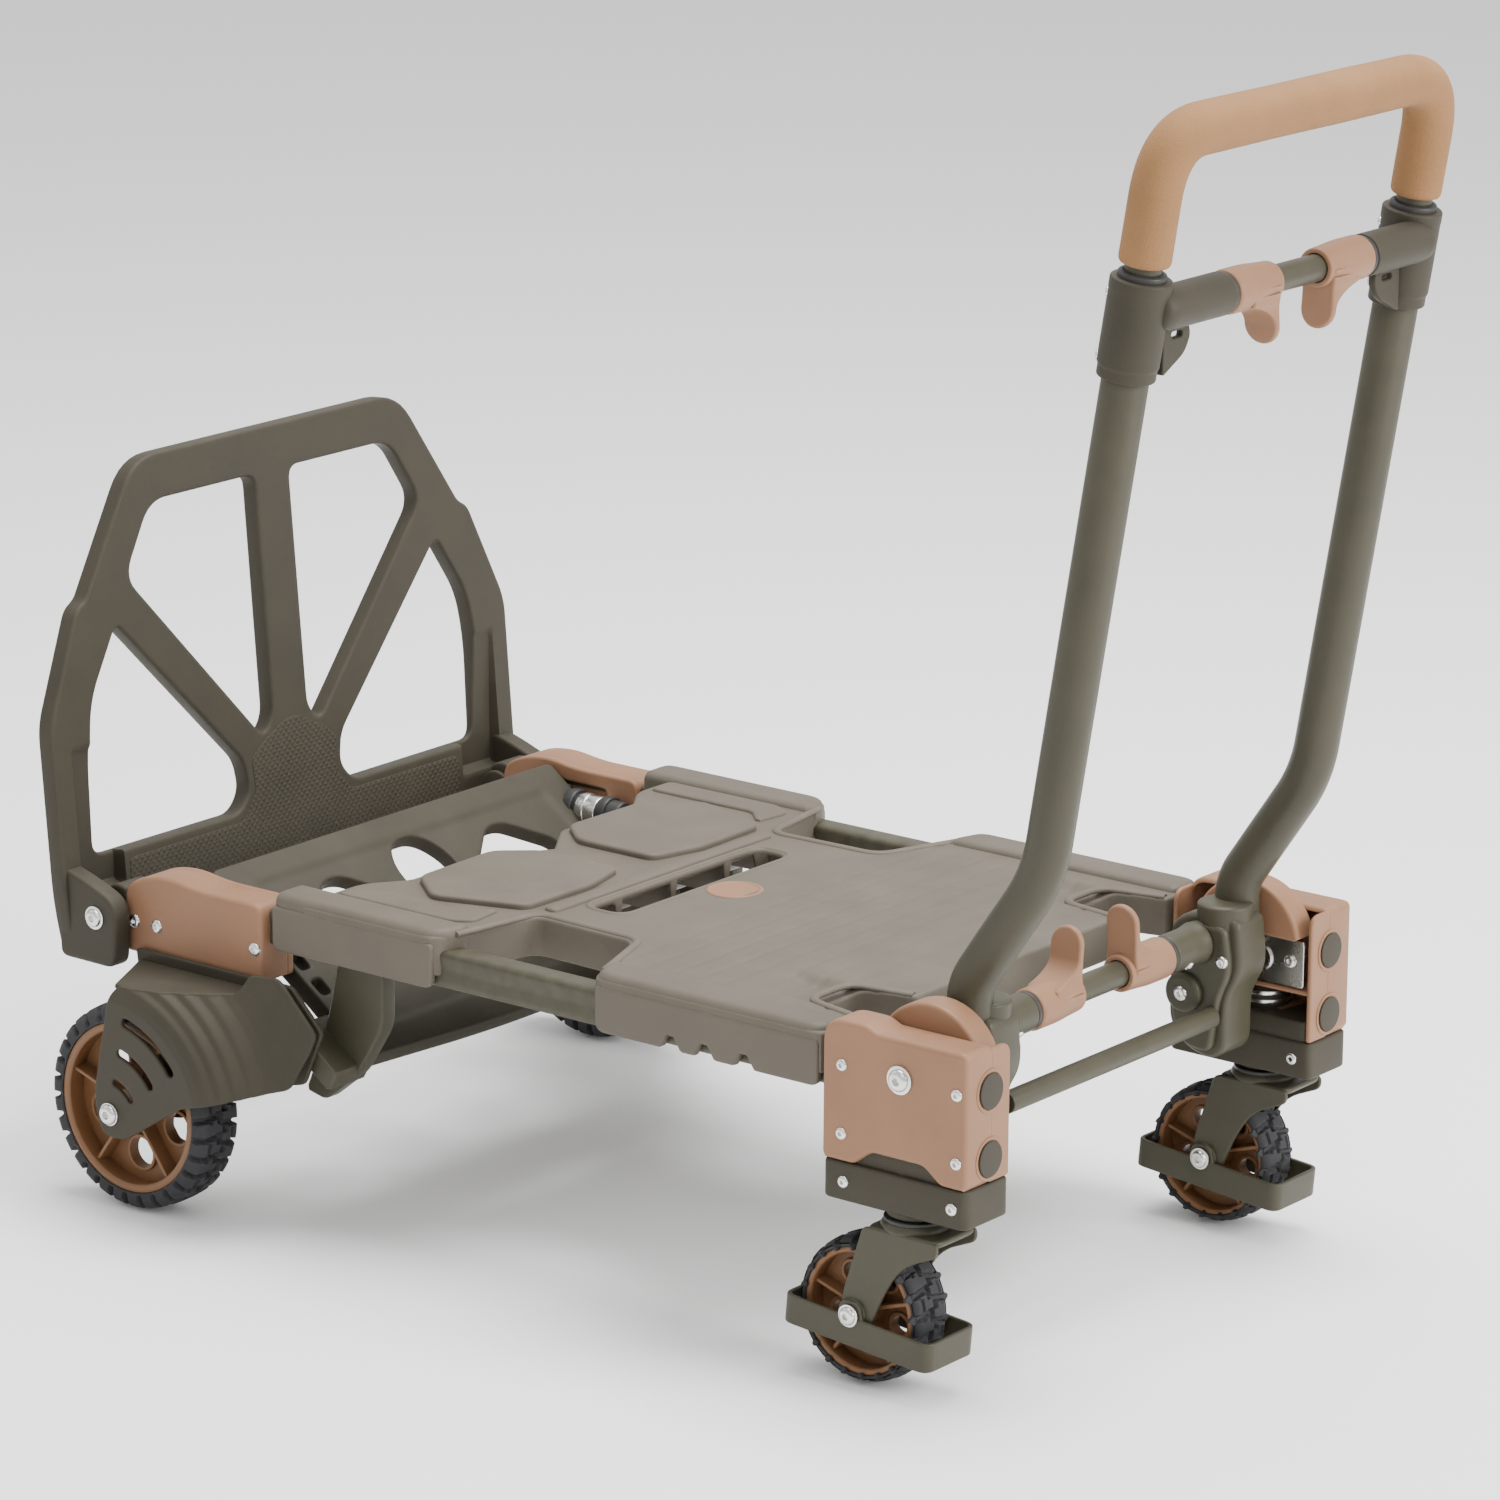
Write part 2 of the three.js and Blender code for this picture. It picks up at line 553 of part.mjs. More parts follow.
const leanSlope = Math.tan(radians(handle.leanDegrees));
const leanX = (z) => handle.bendX + (z - handle.bendZ) * leanSlope;
const leanPoint = (y, z) => new THREE.Vector3(leanX(z), y, z);

// A path given by its stations, so that straight runs take one step and bends take several.
class StationPath extends THREE.Curve {
  constructor(stations) {
    super();
    this.stations = stations;
  }

  station(u) {
    return this.stations[Math.round(u * (this.stations.length - 1))];
  }

  getPointAt(u) {
    return this.station(u).at.clone();
  }

  getTangentAt(u) {
    return this.station(u).along.clone();
  }
}

// Straight runs joined by rounded bends near the given points, each bend in a few steps.
function bentPath(points, bendReach, bendSteps = 3) {
  const towards = (from, to) => to.clone().sub(from).normalize();
  const last = points.length - 1;
  const stations = [{ at: points[0], along: towards(points[0], points[1]) }];
  for (let i = 1; i < last; i += 1) {
    const into = points[i].clone().addScaledVector(towards(points[i], points[i - 1]), bendReach);
    const away = points[i].clone().addScaledVector(towards(points[i], points[i + 1]), bendReach);
    const bend = new THREE.QuadraticBezierCurve3(into, points[i], away);
    for (let step = 0; step <= bendSteps; step += 1) {
      const t = step / bendSteps;
      stations.push({ at: bend.getPoint(t), along: bend.getTangent(t) });
    }
  }
  stations.push({ at: points[last], along: towards(points[last - 1], points[last]) });
  return new StationPath(stations);
}

function handleArm() {
  const { inner, outer } = arm;
  const body = slabY(outline([
    [700, 146, 8], [735, 141, 8], [748, 152, 8], [748, 206, 10], [741, 243, 6], [701, 243, 8], [686, 232, 8],
    [686, 162, 10],
  ]), inner, outer);
  const seat = rodZ(721.5, handle.y, handle.tubeRadius + 0.9, 236, 262);
  const collar = rodZ(721.5, 138, 19, 236, 251);
  const bolt = rodY(pivot.x, pivot.z, pivot.boltRadius + clearance, 122, outer + 5);
  const trimmed = common(join(body, collar), box([600, 800], [inner, outer], [100, 300]));
  return cut(trimmed, seat, bolt);
}

function upright() {
  const at = (x, z) => new THREE.Vector3(x, handle.y, z);
  const tubeEnd = leanPoint(handle.y, socket.high - 1);
  const path = bentPath([at(721.5, 237), at(721.5, 262), at(778, 346), tubeEnd], 15);
  return pipe(path, handle.tubeRadius, handle.boreRadius);
}

function tSocket() {
  const ends = [socket.low, socket.high].map((z) => leanPoint(handle.y, z));
  const sleeve = pipe(bentPath(ends), socket.radius);
  const stub = rodY(upperBar.x, upperBar.z, socket.stubRadius, socket.stubFrom, handle.y, 20);
  const past = [socket.low - 10, socket.high + 10].map((z) => leanPoint(handle.y, z));
  const tubeRoom = pipe(bentPath(past), handle.tubeRadius + 0.6);
  const barRoom = rodY(upperBar.x, upperBar.z, upperBar.radius + clearance, socket.stubFrom - 5, 124);
  return cut(join(sleeve, stub), tubeRoom, barRoom);
}

function lowerCrossbar() {
  const end = arm.inner - clearance;
  const bar = rodY(lowerBar.x, lowerBar.z, lowerBar.radius, -end, end);
  const stubs = [1, -1].map((side) => {
    const span = [side * socket.stubFrom, side * end].sort((a, b) => a - b);
    return rodY(lowerBar.x, lowerBar.z, lowerBar.stubRadius, ...span);
  });
  return join(bar, ...stubs);
}

// The U of the telescoping part: legs in the leaning plane of the uprights, rounded top corners.
function loopPath(lowZ) {
  const y = handle.y;
  const corners = [[y, lowZ], [y, loop.top], [-y, loop.top], [-y, lowZ]];
  return bentPath(corners.map(([side, z]) => leanPoint(side, z)), loop.cornerRadius, 6);
}

// A sleeve that slides on a crossbar, with a finger tongue near its inner end. up is 1 or -1.
function triggerSleeve(bar, up, reach) {
  const { inner, outer, radius, tongueFrom, tongueTo, tongueHalf } = trigger;
  const sleeve = rodY(bar.x, bar.z, radius, inner, outer, 24);
  const tongue = slabY(outline([
    [bar.x - tongueHalf, bar.z], [bar.x + tongueHalf, bar.z],
    [bar.x + tongueHalf, bar.z + up * reach, 12], [bar.x - tongueHalf, bar.z + up * reach, 12],
  ]), tongueFrom, tongueTo);
  return cut(join(sleeve, tongue), rodY(bar.x, bar.z, bar.radius + clearance, inner - 5, outer + 5, 20));
}

for (const [label, side] of sides) {
  piece(`handle_arm_${label}`, handleArm(), 'green', side);
  piece(`upright_${label}`, upright(), 'green', side);
  piece(`t_socket_${label}`, tSocket(), 'green', side);
  piece(`upper_trigger_${label}`, triggerSleeve(upperBar, -1, 40), 'tan', side);
  piece(`lower_trigger_${label}`, triggerSleeve(lowerBar, 1, 48), 'tan', side);
}
piece('upper_crossbar', rodY(upperBar.x, upperBar.z, upperBar.radius, -123, 123), 'green');
piece('lower_crossbar', lowerCrossbar(), 'green');
piece('lower_rod', rodY(lowerRod.x, lowerRod.z, lowerRod.radius, -117.6, 117.6), 'green');
piece('handle_loop', pipe(loopPath(loop.legLow), loop.radius), 'green');
piece('grip', pipe(loopPath(loop.gripLow), loop.foamRadius, loop.radius + clearance), 'foam');

for (const mesh of cart.children) mesh.geometry.translate(-rangeMiddleX, 0, 0);

export default cart;
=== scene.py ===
import bpy
import numpy as np
from mathutils import Matrix, Vector
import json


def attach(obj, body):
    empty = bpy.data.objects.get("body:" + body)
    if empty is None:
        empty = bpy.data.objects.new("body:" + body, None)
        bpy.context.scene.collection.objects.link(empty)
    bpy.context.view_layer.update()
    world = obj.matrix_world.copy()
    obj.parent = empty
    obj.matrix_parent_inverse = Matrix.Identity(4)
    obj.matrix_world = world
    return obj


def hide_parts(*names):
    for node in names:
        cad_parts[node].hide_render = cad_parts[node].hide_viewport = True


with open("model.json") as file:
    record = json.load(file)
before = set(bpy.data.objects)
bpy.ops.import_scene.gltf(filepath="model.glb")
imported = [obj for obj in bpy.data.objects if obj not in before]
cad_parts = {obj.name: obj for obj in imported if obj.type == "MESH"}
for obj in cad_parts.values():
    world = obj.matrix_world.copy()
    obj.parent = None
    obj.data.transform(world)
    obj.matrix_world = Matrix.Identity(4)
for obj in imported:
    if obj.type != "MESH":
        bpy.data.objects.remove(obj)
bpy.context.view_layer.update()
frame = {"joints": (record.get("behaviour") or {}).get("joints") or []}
jointOf = {joint["name"]: joint for joint in frame["joints"]}

# Lengths are millimetres of the cart: x from the foot of the toe plate to the handle end, y across, z up.
# The handle's pivot is 717.5 along the cart, so the frame's own pivot gives the shift to the frame's metres.
pivotX = 717.5
shiftX = pivotX - 1000 * jointOf["handle_fold"]["pos_m"][0]
sides = {"left": -1, "right": 1}


def toMetres(points):
    # metres = (millimetres of the cart - (shiftX, 0, 0)) / 1000
    return (np.asarray(points, float) - [shiftX, 0, 0]) / 1000


# surface tools: every shell is (points, four-cornered faces)


def outward(points, faces):
    # signed volume = sum of corner triple products / 6; a negative one means the faces are inside out
    a, b, c, d = (points[faces[:, k]] for k in range(4))
    volume = np.einsum("ij,ij->i", a, np.cross(b, c)) + np.einsum("ij,ij->i", a, np.cross(c, d))
    return (points, faces) if volume.sum() >= 0 else (points, faces[:, ::-1])


def mirrored(shells, side):
    # y -> side * y, with the corner order turned round when side is -1
    return shells if side > 0 else [(p * [1, -1, 1], f[:, ::-1]) for p, f in shells]


def bothSides(shells):
    # the shells and their mirrored copies, y -> -y
    return shells + mirrored(shells, -1)


def gridFaces(rows, cols, closeRows=False, closeCols=False):
    # face (i, j) joins the points (i, j), (i+1, j), (i+1, j+1), (i, j+1), wrapping where a direction closes
    i, j = np.meshgrid(
        np.arange(rows if closeRows else rows - 1), np.arange(cols if closeCols else cols - 1), indexing="ij"
    )
    i2, j2 = (i + 1) % rows, (j + 1) % cols
    return np.stack([i * cols + j, i2 * cols + j, i2 * cols + j2, i * cols + j2], -1).reshape(-1, 4)


def rounded(corners, reach=0, steps=6, closed=True):
    # each corner is a quadratic curve that starts and ends its own reach before and after the corner
    at = np.array([c[:2] for c in corners], float)
    own = np.array([c[2] if len(c) > 2 else reach for c in corners], float)
    before, after = np.roll(at, 1, 0) - at, np.roll(at, -1, 0) - at
    lengths = np.minimum(np.linalg.norm(before, axis=1), np.linalg.norm(after, axis=1))
    if not closed:
        own[[0, -1]] = 0
    own = np.minimum(own, 0.49 * lengths)[:, None]
    into = at + before / np.linalg.norm(before, axis=1)[:, None] * own
    away = at + after / np.linalg.norm(after, axis=1)[:, None] * own
    t = np.linspace(0, 1, steps + 1)[None, :, None]
    curve = into[:, None] * (1 - t) ** 2 + 2 * t * (1 - t) * at[:, None] + t**2 * away[:, None]
    curve = curve.reshape(-1, 2)
    step = np.linalg.norm(curve - np.roll(curve, 1, 0), axis=1)
    return curve[step > 1e-6]


def circle(u, v, radius, steps=40):
    # point(a) = (u + radius cos a, v + radius sin a)
    a = np.arange(steps) * 2 * np.pi / steps
    return np.stack([u + radius * np.cos(a), v + radius * np.sin(a)], 1)


def wound(loop, left):
    # turns a closed outline so that it runs anticlockwise (left) or clockwise
    u, v = loop.T
    area = np.sum(u * np.roll(v, -1) - np.roll(u, -1) * v)
    return loop if (area > 0) == left else loop[::-1]


def edgeDistance(points, loops):
    # signed distance to the outlines, below zero on the material; also the nearest edge point and its
    # outward direction, which is interpolated between the corners so that it turns smoothly
    best = np.full(len(points), np.inf)
    foot, normal = np.zeros_like(points), np.zeros_like(points)
    crossings = np.zeros(len(points), int)
    for loop in loops:
        nextOne = np.roll(loop, -1, 0)
        along = nextOne - loop
        edgeNormal = np.stack([along[:, 1], -along[:, 0]], 1)
        edgeNormal /= np.linalg.norm(edgeNormal, axis=1)[:, None]
        corner = edgeNormal + np.roll(edgeNormal, 1, 0)
        corner /= np.maximum(np.linalg.norm(corner, axis=1), 1e-9)[:, None]
        for a, b, d, n0, n1 in zip(loop, nextOne, along, corner, np.roll(corner, -1, 0)):
            t = np.clip((points - a) @ d / (d @ d), 0, 1)
            near = a + t[:, None] * d
            distance = np.linalg.norm(points - near, axis=1)
            closer = distance < best
            best[closer] = distance[closer]
            foot[closer] = near[closer]
            normal[closer] = (n0 * (1 - t[:, None]) + n1 * t[:, None])[closer]
            spans = (a[1] > points[:, 1]) != (b[1] > points[:, 1])
            if a[1] != b[1]:
                crossings += spans & (points[:, 0] < a[0] + (points[:, 1] - a[1]) * d[0] / d[1])
    normal /= np.maximum(np.linalg.norm(normal, axis=1), 1e-9)[:, None]
    return np.where(crossings % 2 == 1, -best, best), foot, normal


def plate(
    outlines, low, high, edge, place, step=3.0, relief=None, under=None, grid=None, flatLow=False, rings=3
):
    # point(u, v) = (u, v, high + relief(u, v)) inside the outline drawn in by edge, then rounded over the
    # rim by (edge sin a, edge cos a - edge), and the same again below; place(u, v, w) puts it on the cart
    loops = [wound(o, i == 0) for i, o in enumerate(outlines)]
    if grid is None:
        lowest, highest = loops[0].min(0), loops[0].max(0)
        counts = np.maximum(np.ceil((highest - lowest) / step).astype(int), 2) + 1
        axes = [np.linspace(lowest[k] - 1e-3, highest[k] + 1e-3, counts[k]) for k in (0, 1)]
        grid = np.meshgrid(*axes, indexing="ij")
    u, v = grid
    flat = np.stack([u.ravel(), v.ravel()], 1)
    distance, foot, normal = edgeDistance(flat, loops)
    inside = (distance < -edge).reshape(u.shape)
    cells = inside[:-1, :-1] | inside[1:, :-1] | inside[1:, 1:] | inside[:-1, 1:]
    index = np.arange(u.size).reshape(u.shape)
    corners = (index[:-1, :-1], index[1:, :-1], index[1:, 1:], index[:-1, 1:])
    faces = np.stack([c[cells] for c in corners], 1)
    out = ~inside.ravel()
    flat[out] = foot[out] - normal[out] * edge
    used, faces = np.unique(faces, return_inverse=True)
    flat, normal, faces = flat[used], normal[used], faces.reshape(-1, 4)
    _, first, same = np.unique(np.round(flat, 3), axis=0, return_index=True, return_inverse=True)
    flat, normal, faces = flat[first], normal[first], same.ravel()[faces]
    count = len(flat)
    ends = np.concatenate([faces[:, [k, (k + 1) % 4]] for k in range(4)])
    ends = ends[ends[:, 0] != ends[:, 1]]
    lone = ~np.isin(ends[:, 0] * count + ends[:, 1], ends[:, 1] * count + ends[:, 0])
    border = ends[lone]
    rim, spot = np.unique(border, return_inverse=True)
    border = spot.reshape(-1, 2)
    top = np.full(count, float(high)) if relief is None else high + relief(flat[:, 0], flat[:, 1])
    base = np.full(count, float(low)) if under is None else low + under(flat[:, 0], flat[:, 1])
    angles = np.linspace(0, np.pi / 2, rings + 1)[1:]
    reach, drop = edge * np.sin(angles), edge * (1 - np.cos(angles))
    ringUV = [flat[rim] + normal[rim] * r for r in reach]
    ringW = [top[rim] - d for d in drop]
    if flatLow:
        ringUV.append(ringUV[-1])
        ringW.append(base[rim])
    else:
        ringUV += ringUV[::-1]
        ringW += [base[rim] + d for d in drop[::-1]]
    uv = np.concatenate([flat, *ringUV, flat])
    w = np.concatenate([top, *ringW, base])
    chain = [rim] + [count + k * len(rim) + np.arange(len(rim)) for k in range(len(ringUV))]
    baseStart = count + len(ringUV) * len(rim)
    chain.append(baseStart + rim)
    walls = [
        np.stack([one[border[:, 1]], one[border[:, 0]], two[border[:, 0]], two[border[:, 1]]], 1)
        for one, two in zip(chain, chain[1:])
    ]
    faces = np.concatenate([faces, *walls, faces[:, ::-1] + baseStart])
    return [outward(place(uv[:, 0], uv[:, 1], w), faces)]


def inPlan(u, v, w):  # drawn in x, y and raised along z
    return np.stack([u, v, w], 1)


def inSide(u, v, w):  # drawn in x, z and carried across the cart along y
    return np.stack([u, w, v], 1)


def inEnd(u, v, w):  # drawn in y, z and carried along the cart
    return np.stack([w, u, v], 1)


def revolved(profile, centre, axis=(0, 1, 0), steps=48, wobble=None):
    # point(a, s) = centre + axis * along(s) + radius(s) * (cos a * side + sin a * other)
    profile = np.array(profile, float)
    axis = np.asarray(axis, float) / np.linalg.norm(axis)
    side = np.cross(axis, [0.0, 0.0, 1.0] if abs(axis[2]) < 0.9 else [0.0, 1.0, 0.0])
    side /= np.linalg.norm(side)
    other = np.cross(axis, side)
    a = np.arange(steps) * 2 * np.pi / steps
    radius = np.repeat(profile[None, :, 0], steps, 0)
    if wobble is not None:
        radius = radius * wobble(a[:, None], profile[None, :, 0])
    points = (
        np.asarray(centre, float)
        + axis * profile[None, :, 1:2]
        + radius[..., None] * (np.cos(a)[:, None, None] * side + np.sin(a)[:, None, None] * other)
    )
    closed = np.allclose(profile[0], profile[-1])
    if closed:
        points = points[:, :-1]
    faces = gridFaces(steps, points.shape[1], True, closed)
    return [outward(points.reshape(-1, 3), faces)]


def rod(start, end, radius, bevel=1.0, steps=40, bore=0):
    # a straight round bar or tube: the bevelled rectangle (radius, along) turned about its own line
    start, end = np.asarray(start, float), np.asarray(end, float)
    length = np.linalg.norm(end - start)
    if bore:
        corners = [
            (bore, 0, bevel / 2), (radius, 0, bevel), (radius, length, bevel), (bore, length, bevel / 2)
        ]
        ring = rounded(corners, steps=3)
        return revolved(np.vstack([ring, ring[:1]]), start, end - start, steps)
    corners = [(0, 0), (radius, 0, bevel), (radius, length, bevel), (0, length)]
    return revolved(rounded(corners, steps=3, closed=False), start, end - start, steps)


def pathThrough(corners, reach, steps=10):
    # the corners of a flat path in its own (u, v) plane, each bend a quadratic curve
    return rounded([(u, v, reach) for u, v in corners], steps=steps, closed=False)


def carried(path, section, planeNormal, closed=False):
    # point(i, j) = path(i) + section_u(j) * planeNormal + section_v(j) * (tangent(i) x planeNormal)
    path = np.asarray(path, float)
    n = np.asarray(planeNormal, float) / np.linalg.norm(planeNormal)
    if closed:
        tangent = np.roll(path, -1, 0) - np.roll(path, 1, 0)
    else:
        tangent = np.gradient(path, axis=0)
    tangent /= np.linalg.norm(tangent, axis=1)[:, None]
    lateral = np.cross(tangent, n)
    section = np.asarray(section, float)
    if section.ndim == 2:
        section = np.repeat(section[None], len(path), 0)
    points = path[:, None] + section[..., :1] * n + section[..., 1:2] * lateral[:, None]
    rows, cols = section.shape[:2]
    if closed:
        return [outward(points.reshape(-1, 3), gridFaces(rows, cols, True, True))]
    ends = [np.repeat(points[k].mean(0)[None], cols, 0) for k in (0, -1)]
    points = np.concatenate([ends[0][None], points, ends[1][None]])
    return [outward(points.reshape(-1, 3), gridFaces(rows + 2, cols, False, True))]


def tube(path, planeNormal, radius, steps=40, endRound=1.0):
    # a round section carried along the path, drawn in a little at both ends so that the rims are soft
    section = circle(0, 0, 1, steps)
    length = np.concatenate([[0], np.cumsum(np.linalg.norm(np.diff(path, axis=0), axis=1))])
    lead = np.array([0, 0.3, 1.0]) * endRound
    at = np.unique(np.concatenate([lead, length[1:-1], length[-1] - lead]))
    path = np.stack([np.interp(at, length, path[:, k]) for k in range(3)], 1)
    fromEnd = np.minimum(at, length[-1] - at)
    inset = endRound * (1 - np.sqrt(np.clip(1 - (1 - np.clip(fromEnd / endRound, 0, 1)) ** 2, 0, 1)))
    sizes = radius - inset
    return carried(path, section[None] * sizes[:, None, None], planeNormal)


def slab(x, y, z, edge=1.5, step=3.0):
    # a box between three pairs of limits, its upright corners and its rims rounded by edge
    corners = [(x[0], y[0]), (x[1], y[0]), (x[1], y[1]), (x[0], y[1])]
    return plate([rounded(corners, edge)], z[0], z[1], min(edge, 0.45 * (z[1] - z[0])), inPlan, step)


def makePiece(name, shells, material, body, replaces=(), sharp=38):
    # joins the shells, merges coincident points inside each one and writes the arrays into a mesh
    sizes = [len(p) for p, f in shells]
    starts = np.concatenate([[0], np.cumsum(sizes)[:-1]])
    points = toMetres(np.concatenate([p for p, f in shells]))
    faces = np.concatenate([f + s for (p, f), s in zip(shells, starts)])
    keys = np.column_stack([np.round(points * 1e6).astype(np.int64), np.repeat(np.arange(len(sizes)), sizes)])
    _, first, same = np.unique(keys, axis=0, return_index=True, return_inverse=True)
    points, faces = points[first], same.ravel()[faces]
    repeated = faces == np.roll(faces, -1, 1)
    folded = (faces[:, 0] == faces[:, 2]) | (faces[:, 1] == faces[:, 3])
    quads = faces[(repeated.sum(1) == 0) & ~folded]
    single = (repeated.sum(1) == 1) & ~folded
    triangles = faces[single][~repeated[single]].reshape(-1, 3)
    corners = np.concatenate([quads.ravel(), triangles.ravel()]).astype(np.int32)
    loopStarts = np.concatenate([np.arange(len(quads)) * 4, len(quads) * 4 + np.arange(len(triangles)) * 3])
    mesh = bpy.data.meshes.new(name)
    mesh.vertices.add(len(points))
    mesh.vertices.foreach_set("co", points.astype(np.float32).ravel())
    mesh.loops.add(len(corners))
    mesh.loops.foreach_set("vertex_index", corners)
    mesh.polygons.add(len(loopStarts))
    mesh.polygons.foreach_set("loop_start", loopStarts.astype(np.int32))
    mesh.update(calc_edges=True)
    mesh.validate()
    mesh.polygons.foreach_set("use_smooth", np.ones(len(mesh.polygons), bool))
    mesh.set_sharp_from_angle(angle=np.radians(sharp))
    piece = bpy.data.objects.new(name, mesh)
    bpy.context.scene.collection.objects.link(piece)
    mesh.materials.append(material)
    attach(piece, body)
    if replaces:
        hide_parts(*replaces)
    return piece


# shader groups shared by the finishes


def newGroup(name, inputs, outputs):
    # a node group with its named inputs and outputs
    group = bpy.data.node_groups.new(name, "ShaderNodeTree")
    for label, kind, value in inputs:
        socket = group.interface.new_socket(name=label, in_out="INPUT", socket_type=kind)
        if value is not None:
            socket.default_value = value
    for label, kind in outputs:
        group.interface.new_socket(name=label, in_out="OUTPUT", socket_type=kind)
    return group, group.nodes.new("NodeGroupInput"), group.nodes.new("NodeGroupOutput")


def addNode(tree, kind, settings=None, **links):
    # a node with its settings, and each named or numbered input given a value or another node's socket
    node = tree.nodes.new(kind)
    for key, value in (settings or {}).items():
        setattr(node, key, value)
    for key, value in links.items():
        socket = node.inputs[int(key[1:])] if key[0] == "i" and key[1:].isdigit() else node.inputs[key]
        if isinstance(value, bpy.types.NodeSocket):
            tree.links.new(value, socket)
        else:
            socket.default_value = value
    return node


def grainGroup():
    # moulded grain: fine pebbling plus a slow waviness, as one height
    group, given, result = newGroup(
        "mouldedGrain",
        [("Coordinates", "NodeSocketVector", None), ("Fineness", "NodeSocketFloat", 1500.0)],
        [("Height", "NodeSocketFloat"), ("Mottle", "NodeSocketFloat")],
    )
    fine = addNode(group, "ShaderNodeTexNoise", Vector=given.outputs[0], Scale=given.outputs[1], Detail=3.0)
    pebble = addNode(
        group, "ShaderNodeTexVoronoi", {"feature": "SMOOTH_F1"}, Vector=given.outputs[0],
        Scale=given.outputs[1]
    )
    slow = addNode(group, "ShaderNodeTexNoise", Vector=given.outputs[0], Scale=26.0, Detail=4.0)
    both = addNode(group, "ShaderNodeMath", {"operation": "ADD"}, i0=fine.outputs[0], i1=pebble.outputs[0])
    group.links.new(both.outputs[0], result.inputs["Height"])
    group.links.new(slow.outputs[0], result.inputs["Mottle"])
    return group


def wearAndHighlightGroup():
    # worn edges, with a painted highlight along the same edges: sharp convex places, broken up by noise
    group, given, result = newGroup(
        "rubbedAndHighlitEdges",
        [("Coordinates", "NodeSocketVector", None), ("Amount", "NodeSocketFloat", 0.5)],
        [("Mask", "NodeSocketFloat")],
    )
    geometry = group.nodes.new("ShaderNodeNewGeometry")
    edge = addNode(group, "ShaderNodeMapRange", i0=geometry.outputs["Pointiness"], i1=0.52, i2=0.62)
    breakUp = addNode(group, "ShaderNodeTexNoise", Vector=given.outputs[0], Scale=90.0, Detail=5.0)
    patches = addNode(group, "ShaderNodeMapRange", i0=breakUp.outputs[0], i1=0.35, i2=0.7)
    mask = addNode(
        group, "ShaderNodeMath", {"operation": "MULTIPLY"}, i0=edge.outputs[0], i1=patches.outputs[0]
    )
    scaled = addNode(
        group, "ShaderNodeMath", {"operation": "MULTIPLY"}, i0=mask.outputs[0], i1=given.outputs[1]
    )
    group.links.new(scaled.outputs[0], result.inputs["Mask"])
    return group


def dustGroup():
    # a thin film of dust that gathers where a surface faces up
    group, given, result = newGroup(
        "settledDust",
        [("Coordinates", "NodeSocketVector", None), ("Amount", "NodeSocketFloat", 0.2)],
        [("Mask", "NodeSocketFloat")],
    )
    geometry = group.nodes.new("ShaderNodeNewGeometry")
    parts = addNode(group, "ShaderNodeSeparateXYZ", Vector=geometry.outputs["Normal"])
    facingUp = addNode(group, "ShaderNodeMapRange", i0=parts.outputs["Z"], i1=0.2, i2=1.0)
    cloud = addNode(
        group, "ShaderNodeTexNoise", Vector=given.outputs[0], Scale=14.0, Detail=6.0, Roughness=0.7
    )
    patches = addNode(group, "ShaderNodeMapRange", i0=cloud.outputs[0], i1=0.4, i2=0.75)
    mask = addNode(
        group, "ShaderNodeMath", {"operation": "MULTIPLY"}, i0=facingUp.outputs[0], i1=patches.outputs[0]
    )
    scaled = addNode(
        group, "ShaderNodeMath", {"operation": "MULTIPLY"}, i0=mask.outputs[0], i1=given.outputs[1]
    )
    group.links.new(scaled.outputs[0], result.inputs["Mask"])
    return group


groups = {"grain": grainGroup(), "wearAndHighlight": wearAndHighlightGroup(), "dust": dustGroup()}


def placed(tree, group, coordinates, **values):
    # a group node fed with the coordinates and its own values
    node = tree.nodes.new("ShaderNodeGroup")
    node.node_tree = groups[group]
    tree.links.new(coordinates, node.inputs["Coordinates"])
    for key, value in values.items():
        node.inputs[key].default_value = value
    return node


def mixed(tree, amount, one, two):
    # one * (1 - amount) + two * amount, for colours
    node = tree.nodes.new("ShaderNodeMix")
    node.data_type = "RGBA"
    for socket, value in ((node.inputs[0], amount), (node.inputs[6], one), (node.inputs[7], two)):
        if isinstance(value, bpy.types.NodeSocket):
            tree.links.new(value, socket)
        else:
            socket.default_value = value
    return node.outputs[2]


dustColour = (0.24, 0.215, 0.18, 1)


